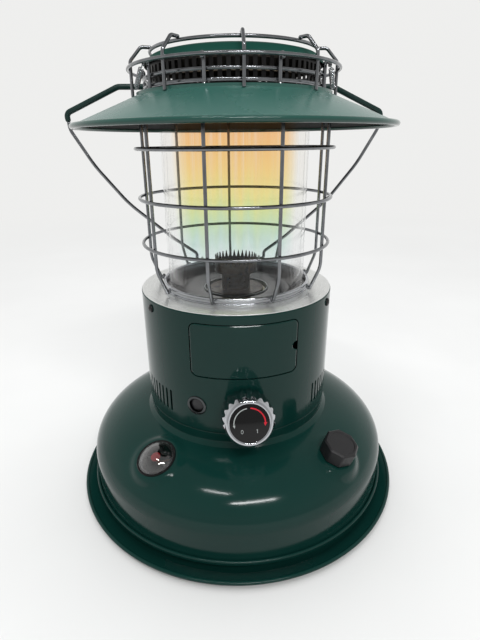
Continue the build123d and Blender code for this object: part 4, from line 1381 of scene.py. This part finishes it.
@dataclass
class Knob:
    """The fluted control knob and its dial."""

    radius: float = 25.5
    flutes: int = 20
    flute_depth: float = 2.2
    depth: float = 31.0
    hollow: Point = (21.0, -6.0)        # radius and floor of the hollow at its back
    rim: Point = (24.9, 0.6)            # the rounding of its back edge
    shoulder: tuple[Point, ...] = (
        (25.3, -7.4), (24.9, -5.9), (24.3, -4.7), (23.6, -3.6), (22.9, -2.7),
    )
    shoulder_start: float = -9.0
    bezel: tuple[Point, ...] = (
        (22.4, -1.8), (22.1, -1.1), (21.5, -0.35), (20.8, 0.0), (19.4, 0.0), (18.9, -0.2), (18.5, -0.8),
    )
    dial: tuple[Point, ...] = ((0, -1.2), (18.5, -1.2), (18.5, -0.6), (18.2, -0.42), (0, -0.4))
    arrow_radius: float = 14.6
    arrow_low: Span = (0.9, -9.0, -86.0, 11.0)      # width, start, sweep and head
    arrow_high: Span = (1.3, 4.0, 84.0, 13.0)
    barb: float = 0.8                   # how far an arrow's head stands out, in widths
    numeral_seat: Point = (7.2, 7.6)    # how far out and how far down the dial a numeral stands
    numeral: Point = (1.9, 0.5)         # its half height and the width of its line
    nought: float = 0.62                # width of the nought against its height
    flag: Place = (0.8, 0.5, 0.62)      # reach and foot of the one's flag, and its root, in half heights
    print_depths: Point = (-0.42, -0.34)

    def flute(self, radius: float, turn: float) -> float:
        """A ring's radius at a turn: the flutes bite only where the knob is wide."""
        bite = math.cos(self.flutes * turn / 2) ** 2
        return min(radius, self.radius - self.flute_depth * bite)

    def arrow(self, width: float, start: float, sweep: float, head: float) -> list[Vector]:
        """The outline of a curved arrow, with its angles in degrees from the top, clockwise.

        Args:
            width: width of its line.
            start: where it starts.
            sweep: how far it turns, up to its head.
            head: how far its head turns.

        Returns:
            The closed outline.
        """
        radius = self.arrow_radius
        begin, turn = 90 - start, -sweep
        outside, inside = radius + width / 2, radius - width / 2
        end, tip = begin + turn, begin + turn * (1 + head / abs(sweep))
        outline = arc((0, 0), (outside, outside), begin, turn, steps=24)
        barb = width * self.barb
        for reach, bearing in ((outside + barb, end), (radius, tip), (inside - barb, end)):
            place = math.radians(bearing)
            outline.append(Vector((reach * math.cos(place), reach * math.sin(place))))
        return outline + arc((0, 0), (inside, inside), end, -turn, steps=24)

    def shell(self) -> bpy.types.Object:
        """The hollow shell with its flutes, its bezel and the well that holds the dial.

        Returns:
            The shell.
        """
        shell = Shaper()
        bore, ceiling = self.hollow
        well, floor = self.dial[1]
        rings = [(POLE, ceiling), (bore, ceiling), (bore, -self.depth), (self.rim[0], -self.depth)]
        rings += [(self.radius, self.rim[1] - self.depth), (self.radius, self.shoulder_start)]
        rings += [*self.shoulder, *self.bezel, (well, floor), (POLE, floor)]
        shell.drum(KNOB_FACE, rings, sides=320, wave=self.flute)
        return shell.object("knob_body", crease=40)

    def numerals(self) -> bpy.types.Object:
        """A plain nought and a plain one, printed low on the dial.

        Returns:
            Both numerals as one object.
        """
        marks = Shaper()
        across, down = self.numeral_seat
        tall, line = self.numeral
        low, high = self.print_depths
        oval = Matrix.Translation((-across, -down, 0)) @ Matrix.Diagonal((self.nought, 1, 1, 1))
        ring = [(tall - line, low), (tall, low), (tall, high), (tall - line, high)]
        marks.turned(KNOB_FACE @ oval, ring, sides=40)
        reach, foot, root = (share * tall for share in self.flag)
        stroke = [(-line, -tall), (0, -tall), (0, tall), (-line, tall), (-reach, foot), (-line, root)]
        marks.prism(KNOB_FACE @ Matrix.Translation((across, -down, 0)), stroke, low, high)
        return marks.object("dial_numerals")

    def build(self, frame: dict) -> None:
        """Builds the shell, the dial, its arrows and its numerals, and dresses them.

        Args:
            frame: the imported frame.
        """
        hand_over(self.shell(), "knob", CHROME, "knob_shell")
        dial = Shaper()
        dial.turned(KNOB_FACE, self.dial)
        hand_over(dial.object("knob_face"), "knob", BLACK_GLOSS, "knob_dial")
        for name, finish, arrow in (
            ("dial_arrow_low", WHITE_PRINT, self.arrow_low),
            ("dial_arrow_high", RED_PRINT, self.arrow_high),
        ):
            mark = Shaper()
            mark.prism(KNOB_FACE, self.arrow(*arrow), *self.print_depths)
            hand_over(mark.object(name), "knob", finish)
        hand_over(self.numerals(), "knob", WHITE_PRINT)
        dress(frame, ZINC, "knob_shaft")


@dataclass
class StopButton:
    """The push button that drops the wick, in its dark chrome cup."""

    bore: float = 7.85
    rim: tuple[Point, ...] = ((7.85, 0.9), (8.2, 1.15), (9.6, 1.1), (10.4, 0.8), (10.65, 0.3), (10.65, 0.05))
    cup_floor: Point = (-14.0, -15.5)   # its upper and its lower face
    cup_bore: float = 2.6
    crown: tuple[Point, ...] = ((0, -0.8), (4.5, -0.95), (6.6, -1.3), (7.5, -1.9), (7.8, -2.8), (7.8, -9.0))
    skirt_bore: float = 5.0
    ceiling: float = -4.0
    stem: Point = (2.5, -19.0)          # radius and foot

    def build(self, frame: dict) -> None:
        """Builds the cup and the button, and dresses them with the spring.

        Args:
            frame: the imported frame.
        """
        cup = Shaper()
        wall = self.bore + SHEET
        upper, lower = self.cup_floor
        inside = [(wall, lower), (self.cup_bore, lower), (self.cup_bore, upper), (self.bore, upper)]
        cup.turned(STOP_SEAT, [*self.rim, (wall, self.rim[-1][1]), *inside])
        hand_over(cup.object("stop_bezel"), "stand", DARK_CHROME, "stop_cup")
        button = Shaper()
        stem, foot = self.stem
        inside = [(self.skirt_bore, self.crown[-1][1]), (self.skirt_bore, self.ceiling), (stem, self.ceiling)]
        button.turned(STOP_SEAT, [*self.crown, *inside, (stem, foot), (0, foot)])
        hand_over(button.object("stop_cap"), "stop", BLACK_SATIN, "stop_button")
        dress(frame, SPRING, "stop_spring")


@dataclass
class Gauge:
    """The fuel gauge: a black cup on the dome, a clear lens, and the float's red flag."""

    bore: float = 15.8
    wall: float = 17.0
    foot: float = -12.0
    flange: float = 21.0
    flange_low: float = 0.8
    flange_top: float = 2.0
    soft: Point = (0.3, 0.4)            # rounding of the flange's lower and upper edges
    lens: float = 19.0
    rise: float = 9.0
    lens_wall: float = 1.2

    def dome(self, inset: float) -> list[Point]:
        """The lens's face from its middle to its rim.

        Args:
            inset: how deep below the outer face it lies.

        Returns:
            Its radii and reaches.
        """
        sphere = (self.lens**2 + self.rise**2) / (2 * self.rise)
        centre = self.flange_top + self.rise - sphere
        radius = sphere - inset
        widest = math.acos((self.flange_top - centre) / radius)
        turns = [widest * step / 20 for step in range(21)]
        return [(radius * math.sin(turn), centre + radius * math.cos(turn)) for turn in turns]

    def build(self, frame: dict) -> None:
        """Builds the cup and lens, and dresses them with the float.

        Args:
            frame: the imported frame.
        """
        cup = Shaper()
        low, high = self.flange_low, self.flange_top
        under, over = self.soft
        outline = [(self.bore, self.foot), (self.wall, self.foot), (self.wall, low)]
        outline += [(self.flange - under, low), (self.flange, low + under)]
        outline += [(self.flange, high - over), (self.flange - over, high)]
        outline += [(self.bore + over, high), (self.bore, high - over)]
        cup.turned(GAUGE_SEAT, outline)
        hand_over(cup.object("gauge_ring"), "stand", BLACK_GLOSS, "gauge_cup")
        lens = Shaper()
        lens.turned(GAUGE_SEAT, self.dome(0) + self.dome(self.lens_wall)[::-1])
        hand_over(lens.object("gauge_glass"), "stand", LENS, "gauge_lens")
        dress(frame, RED, "gauge_flag")
        dress(frame, CORK, "fuel_float")
        dress(frame, ZINC, "gauge_pin")


@dataclass
class Filler:
    """The filler neck with its strainer, and its octagonal cap."""

    flats: int = 8
    flat: float = 17.0                  # from the cap's middle to a flat
    worn: float = 0.25                  # how far the corners between the flats are worn back
    bore: float = 15.6
    round_below: float = 14.6           # rings narrower than this are round
    skirt: float = 2.0
    skirt_soft: float = 0.5
    top: float = 19.0
    ceiling: float = 10.4
    chamfer: float = 1.5
    dish: Place = (14.0, 13.4, 0.7)     # radii of the sunken top's edge and floor, and its depth
    neck: Place = (15.0, -14.0, 8.0)    # radius, foot and top
    neck_wall: float = 1.5

    def octagon(self, radius: float, turn: float) -> float:
        """A ring's radius at a turn: an octagon outside, round within the bore and the top's dish.

        Args:
            radius: from the middle to a flat.
            turn: the turn about the axis.

        Returns:
            The radius there.
        """
        if radius < self.round_below or math.isclose(radius, self.bore):
            return radius
        flat = math.tau / self.flats
        corner = radius / math.cos(flat / 2) - self.worn
        return min(radius / math.cos(turn % flat - flat / 2), corner)

    def build(self, frame: dict) -> None:
        """Builds the cap and the neck, and dresses them with the strainer and gasket.

        Args:
            frame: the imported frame.
        """
        cap = Shaper()
        soft, flat, edge = self.skirt_soft, self.flat, self.chamfer
        brink, floor, sunk = self.dish
        rings = [(POLE, self.ceiling), (self.bore, self.ceiling), (self.bore, self.skirt)]
        rings += [(flat - soft, self.skirt), (flat, self.skirt + soft), (flat, self.top - edge)]
        rings += [(flat - edge, self.top), (brink, self.top)]
        rings += [(floor, self.top - sunk), (POLE, self.top - sunk)]
        cap.drum(FILLER_SEAT, rings, sides=128, wave=self.octagon)
        hand_over(cap.object("filler_lid", crease=24), "cap", BLACK_SATIN, "filler_cap")
        neck = Shaper()
        radius, foot, top = self.neck
        neck.pipe(FILLER_SEAT, radius, radius - self.neck_wall, foot, top)
        hand_over(neck.object("filler_pipe"), "stand", ZINC, "filler_neck")
        dress(frame, ZINC, "strainer")
        dress(frame, RUBBER, "cap_gasket")


@dataclass
class Burner:
    """The burner: its bowl, the wick between its tubes, the spreader and the glass over them."""

    bowl: tuple[Point, ...] = ((36.4, 238.0), (60.7, 240.0), (70.0, 246.2), (79.3, 246.2))
    bowl_bends: Point = (8.0, 3.0)
    glass: float = 75.0
    glass_wall: float = 3.0
    glass_low: float = 247.0
    glass_high: float = 428.2
    brim: float = 4.0                   # how far from its ends the glass's straight wall starts

    def build(self, frame: dict) -> None:
        """Builds the bowl and the glass, and dresses them with the tubes, wick and spreader.

        Args:
            frame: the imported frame.
        """
        bowl = Shaper()
        bowl.lathe(sheet(rounded(self.bowl, self.bowl_bends, steps=8), -SHEET))
        hand_over(evened(bowl.object("bowl_pressing")), "stand", BOWL_STEEL_PAINTED_DARK, "burner_bowl")
        glass = Shaper()
        outer, inner, end = self.glass, self.glass - self.glass_wall, self.glass_wall / 2
        foot, top = self.glass_low + self.brim, self.glass_high - self.brim
        low_edge = arc((inner + end, self.glass_low + end), (end, end), 180, 180, steps=10)
        high_edge = arc((inner + end, self.glass_high - end), (end, end), 0, 180, steps=10)
        glass.lathe([*low_edge, (outer, foot), (outer, top), *high_edge, (inner, top), (inner, foot)])
        hand_over(evened(glass.object("chimney_glass", crease=60)), "stand", FILM, "glass_chimney")
        dress(frame, BURNT, "draft_tube")
        dress(frame, ZINC, "wick_tube", "wick_carrier")
        dress(frame, WICK_CLOTH, "wick")
        dress(frame, BURNT, "flame_crown", "flame_spreader")


@dataclass
class Guard:
    """The wire guard round the glass: nine bent uprights, three belt rings and two neck rings."""

    wire: float = 3.4
    uprights: int = 9
    first: float = -70.0
    path: tuple[Point, ...] = (
        (82.8, 252.2),
        (85.4, 246.0),
        (96.3, 272.0),
        (96.3, 425.0),
        (89.0, 436.0),
        (89.0, 457.0),
        (93.5, 457.0),
        (93.5, 453.0),
    )
    bends: tuple[float, ...] = (2.4, 30.0, 9.0, 9.0, 2.0, 2.0)
    belt_radius: float = 99.4
    belts: Place = (294.0, 340.0, 387.0)
    neck_radius: float = 85.9
    necks: Point = (439.0, 447.0)

    def build(self, frame: dict) -> None:
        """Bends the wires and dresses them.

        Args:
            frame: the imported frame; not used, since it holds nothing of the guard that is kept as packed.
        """
        posts = Shaper()
        path = [(radius, 0, z) for radius, z in self.path]
        posts.wire(rounded(path, self.bends, steps=8), self.wire)
        posts.copies(self.uprights, self.first)
        hand_over(posts.object("guard_wires", crease=60), "stand", BRIGHT_WIRE, "guard_uprights")
        for name, node, radius, heights in (
            ("guard_belts", "guard_rings", self.belt_radius, self.belts),
            ("guard_necks", "neck_rings", self.neck_radius, self.necks),
        ):
            rings = Shaper()
            for height in heights:
                rings.hoop(radius, height, self.wire)
            hand_over(rings.object(name, crease=60), "stand", BRIGHT_WIRE, node)


@dataclass
class Top:
    """What sits over the glass: the shade and its springs, the louvred drum, the cap and the crown."""

    shade: tuple[Point, ...] = ((93.4, 435.5), (93.4, 432.5), (153.9, 407.2))
    shade_bend: float = 1.2
    shade_rim: Point = (154.9, 406.8)
    shade_wire: float = 4.8
    cap: tuple[Point, ...] = ((85.0, 457.6), (85.0, 459.2), (79.0, 465.6), (71.0, 467.6), (0.0, 470.2))
    cap_bends: Place = (1.2, 6.0, 8.0)
    crown_wire: float = 3.0
    crown_posts: int = 9
    crown_first: float = -90.0
    post: tuple[Point, ...] = ((97.5, 431.7), (97.5, 461.0), (87.0, 472.5), (77.5, 472.5))
    post_bend: float = 5.0
    crown_rings: tuple[Point, ...] = ((79.0, 469.8), (100.2, 455.0))
    spring_low: Place = (77.6, 94.5, 437.6)         # bearing, radius and height
    spring_high: Place = (62.6, 93.5, 454.0)
    spring_radius: float = 2.1
    spring_wire: float = 0.9
    spring_turns: int = 11
    spring_steps: int = 14              # points along one turn
    spring_tail: float = 0.07           # share of its length where a tail ends
    spring_coils: Point = (0.12, 0.76)  # where the coils start, and their share of the length

    def spring(self, side: Side) -> list[Vector]:
        """A spring's wire: a tail, the coils, and a tail.

        Args:
            side: the side of the heater that it is on.

        Returns:
            Points along the wire.
        """
        low = front(side.value * self.spring_low[0], *self.spring_low[1:])
        high = front(side.value * self.spring_high[0], *self.spring_high[1:])
        along = (high - low).normalized()
        level = along.orthogonal().normalized()
        other = along.cross(level)
        start, length = self.spring_coils
        steps = self.spring_steps * self.spring_turns
        coils = []
        for step in range(steps + 1):
            turn = math.tau * step / self.spring_steps
            place = low.lerp(high, start + length * step / steps)
            coils.append(place + self.spring_radius * (math.cos(turn) * level + math.sin(turn) * other))
        return [low, low.lerp(high, self.spring_tail), *coils, low.lerp(high, 1 - self.spring_tail), high]

    def crown(self) -> None:
        """Bends the crown's posts and rings, and dresses them."""
        posts = Shaper()
        path = [(radius, 0, z) for radius, z in self.post]
        posts.wire(rounded(path, self.post_bend, steps=8), self.crown_wire)
        posts.copies(self.crown_posts, self.crown_first)
        hand_over(posts.object("crown_wires", crease=60), "stand", BRIGHT_WIRE, "crown_posts")
        rings = Shaper()
        for radius, z in self.crown_rings:
            rings.hoop(radius, z, self.crown_wire)
        hand_over(rings.object("crown_hoops", crease=60), "stand", BRIGHT_WIRE, "crown_rings")

    def build(self, frame: dict) -> None:
        """Builds the shade, cap, crown and springs, and dresses them with the drum and collar.

        Args:
            frame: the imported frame.
        """
        shade = Shaper()
        shade.lathe(sheet(rounded(self.shade, self.shade_bend), -SHEET), FINER)
        hand_over(evened(shade.object("shade_cone")), "stand", LIT_SHADE_GREEN, "shade")
        rim = Shaper()
        rim.hoop(*self.shade_rim, self.shade_wire, FINER, sides=20)
        hand_over(rim.object("shade_roll"), "stand", LIT_RIM_GREEN)
        cap = Shaper()
        cap.lathe(sheet(rounded(self.cap, self.cap_bends), -SHEET))
        hand_over(evened(cap.object("cap_dome")), "stand", LIT_CAP_GREEN, "top_cap")
        self.crown()
        springs = Shaper()
        for side in Side:
            springs.wire(self.spring(side), self.spring_wire, sides=8)
        hand_over(springs.object("shade_coils", crease=60), "stand", CHROME, "shade_springs")
        dress(frame, BLACK_STEEL, "louver_drum")
        dress(frame, SATIN, "chimney_collar")


@dataclass
class Handle:
    """The carrying handle: two bent wire legs and a coated grip across them."""

    origin: Place = (0.0, 88.0, 249.0)
    lean: float = 4.81
    wire: float = 4.0
    grip_wire: float = 6.4
    leg: tuple[Point, ...] = (
        (33.0, 0.0),
        (44.0, 0.0),
        (44.0, 9.0),
        (73.0, 29.0),
        (126.0, 73.0),
        (163.0, 118.0),
        (187.5, 159.0),
        (188.5, 168.0),
    )
    leg_bends: tuple[float, ...] = (3.5, 6.0, 100.0, 150.0, 150.0, 25.0)
    grip: tuple[Point, ...] = ((188.5, 168.0), (189.5, 177.0), (128.0, 205.0))
    grip_bends: tuple[float, ...] = (7.0, 14.0, 14.0, 7.0)

    def place(self, point: Point) -> Place:
        """A point of the handle's own plane in space.

        Args:
            point: how far across and how far up the plane it lies.

        Returns:
            Its place.
        """
        turn = math.radians(self.lean)
        across, up = point
        return (across, self.origin[1] + up * math.sin(turn), self.origin[2] + up * math.cos(turn))

    def build(self, frame: dict) -> None:
        """Bends the legs and the grip, and dresses them with their brackets.

        Args:
            frame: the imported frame.
        """
        legs = Shaper()
        for side in Side:
            path = [self.place((side.value * across, up)) for across, up in self.leg]
            legs.wire(rounded(path, self.leg_bends, steps=10), self.wire)
        hand_over(legs.object("handle_wires", crease=60), "handle", BRIGHT_WIRE, "handle_legs")
        grip = Shaper()
        half = [self.place(point) for point in self.grip]
        other = [(-across, deep, up) for across, deep, up in half[::-1]]
        grip.wire(rounded(half + other, self.grip_bends, steps=12), self.grip_wire, sides=20)
        hand_over(grip.object("handle_sleeve", crease=60), "handle", GREEN_COATING, "handle_grip")
        dress(frame, SATIN, "handle_brackets")


@dataclass
class BatteryCase:
    """The igniter's battery case at the back."""

    def build(self, frame: dict) -> None:
        """Dresses the case, its lid and the cells."""
        dress(frame, BLACK_SATIN, "battery_case", "battery_lid")
        dress(frame, WRAP, "batteries")


# ---------------------------------------------------------------- studio


@dataclass
class Studio:
    """The camera, the lamps, the floor and the pale room round the heater."""

    eye: Place = (-0.0378, -0.4800, 0.3919)
    heading: float = -4.5               # degrees about the vertical
    pitch: float = 22.01                # degrees down
    roll: float = -0.54
    lens: float = 24.69
    shift: float = 0.0056
    near: float = 0.02                  # metres: nothing nearer to the camera is seen
    aim: Place = (0.0, 0.0, 0.22)       # the heater's middle, which the lamps face
    lamps: tuple[tuple[str, Place, Point, float], ...] = (
        ("key", (0.25, -1.60, 1.90), (1.1, 0.12), 21.0),
        ("strip", (-0.55, -0.95, 2.30), (0.6, 0.07), 6.0),
    )
    # each span holds a range of a heading's Y or Z, and the room's brightness at its two ends
    backdrop: Colour = (0.86, 0.86, 0.85, 1.0)
    seen_sides: Span = (-0.9, 0.6, 0.62, 1.0)
    seen_heights: Span = (0.28, 0.9, 1.0, 0.5)
    glow: Colour = (0.98, 0.99, 1.0, 1.0)
    glow_sides: Span = (-0.8, 0.9, 0.26, 1.0)
    glow_heights: Span = (-0.5, 0.9, 0.35, 1.9)
    floor_size: float = 30.0
    floor_grain: float = 3.0            # size of the floor's patches, per metre
    floor_dark: Colour = (0.77, 0.77, 0.76, 1.0)
    floor_pale: Colour = (0.81, 0.81, 0.80, 1.0)
    floor_lit: Colour = (0.36, 0.36, 0.35, 1.0)     # what it lends to the light on the heater
    floor_fade: Point = (0.35, 2.4)     # metres over which it turns into the backdrop

    def camera(self) -> None:
        """Sets up the camera."""
        data = bpy.data.cameras.new("camera")
        data.lens = self.lens
        data.shift_x = self.shift
        data.clip_start = self.near
        eye = bpy.data.objects.new("camera", data)
        heading = Matrix.Rotation(math.radians(self.heading), 4, "Z")
        pitch = Matrix.Rotation(math.radians(90 - self.pitch), 4, "X")
        roll = Matrix.Rotation(math.radians(self.roll), 4, "Z")
        eye.matrix_world = Matrix.Translation(self.eye) @ heading @ pitch @ roll
        bpy.context.scene.collection.objects.link(eye)
        bpy.context.scene.camera = eye
        bpy.context.scene.view_settings.view_transform = "Standard"

    def light(self) -> None:
        """Hangs the lamps, each aimed at the heater's middle."""
        for name, place, size, power in self.lamps:
            data = bpy.data.lights.new(name, "AREA")
            data.shape = "RECTANGLE"
            data.size, data.size_y = size
            data.energy = power
            lamp = bpy.data.objects.new(name, data)
            turn = (Vector(self.aim) - Vector(place)).to_track_quat("-Z", "Y").to_matrix().to_4x4()
            lamp.matrix_world = Matrix.Translation(place) @ turn
            bpy.context.scene.collection.objects.link(lamp)

    def shown(self, nodes: Nodes) -> bpy.types.NodeSocket:
        """Tells the rays that show the background from those that only light the heater.

        Args:
            nodes: the tree.

        Returns:
            1 for a ray that is seen straight, mirrored or through a clear piece, else 0.
        """
        rays = nodes.add("LightPath").outputs
        straight = nodes.maths("MAXIMUM", rays["Is Camera Ray"], rays["Is Transmission Ray"])
        return nodes.maths("MAXIMUM", straight, rays["Is Glossy Ray"])

    def level(self, nodes: Nodes, heading: bpy.types.NodeSocket) -> bpy.types.NodeSocket:
        """How bright the room looks along a heading: full behind the heater, lower in front of it."""
        return nodes.span(nodes.parts(heading)["Y"], *self.seen_sides)

    def room(self) -> None:
        """Fills the world: a pale room where it is seen or mirrored, and a softer light from it."""
        world = bpy.data.worlds.new("room")
        nodes = Nodes(world)
        heading = nodes.add("TexCoord").outputs["Generated"]
        parts = nodes.parts(heading)
        overhead = nodes.span(parts["Z"], *self.seen_heights)
        level = nodes.maths("MULTIPLY", self.level(nodes, heading), overhead)
        seen = nodes.add("Background", None, Color=self.backdrop, Strength=level).outputs[0]
        sides, heights = nodes.span(parts["Y"], *self.glow_sides), nodes.span(parts["Z"], *self.glow_heights)
        soft = nodes.maths("MULTIPLY", sides, heights)
        lit = nodes.add("Background", None, Color=self.glow, Strength=soft).outputs[0]
        room = nodes.add("MixShader", None, i0=self.shown(nodes), i1=lit, i2=seen).outputs[0]
        nodes.add("OutputWorld", None, Surface=room)
        bpy.context.scene.world = world

    def floor_finish(self) -> bpy.types.Material:
        """The floor's material: pale near the heater, and turning into the backdrop far from it.

        Returns:
            The material.
        """
        nodes = Nodes(bpy.data.materials.new("floor"))
        place = nodes.place()
        shown = self.shown(nodes)
        grain = nodes.span(nodes.noise(place, self.floor_grain, detail=3.0), *NOISE, 0.0, 1.0)
        pale = nodes.mixed(grain, self.floor_dark, self.floor_pale)
        colour = nodes.mixed(shown, self.floor_lit, pale)
        near = nodes.add("BsdfDiffuse", None, Color=colour).outputs[0]
        heading = nodes.add("VectorMath", {"operation": "NORMALIZE"}, i0=place).outputs["Vector"]
        level = self.level(nodes, heading)
        far = nodes.add("Emission", None, Color=self.backdrop, Strength=level).outputs[0]
        away = nodes.span(nodes.length(place), *self.floor_fade, 0.0, 1.0)
        share = nodes.maths("MULTIPLY", away, shown)
        return nodes.surface(nodes.add("MixShader", None, i0=share, i1=near, i2=far).outputs[0])

    def floor(self) -> None:
        """Lays the floor."""
        mesh = bmesh.new()
        bmesh.ops.create_grid(mesh, x_segments=2, y_segments=2, size=self.floor_size / 2)
        ground = linked("floor", mesh)
        ground.data.materials.append(self.floor_finish())


def corners(box: Sequence[Sequence[float]]) -> list[list[float]]:
    """A box as plain lists of numbers."""
    return [[float(value) for value in corner] for corner in box]


def main() -> None:
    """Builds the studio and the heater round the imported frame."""
    logging.basicConfig(level=logging.INFO, format="%(message)s")
    studio = Studio()
    studio.camera()
    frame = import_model()
    heater: tuple[Assembly, ...] = (
        DripTray(), Tank(), Housing(), Door(), Knob(), StopButton(), Gauge(), Filler(), Burner(), Guard(),
        Top(), Handle(), BatteryCase(),
    )
    for assembly in heater:
        LOG.info("%s", type(assembly).__name__)
        assembly.build(frame)
    studio.light()
    studio.room()
    studio.floor()


if __name__ == "__main__":
    main()
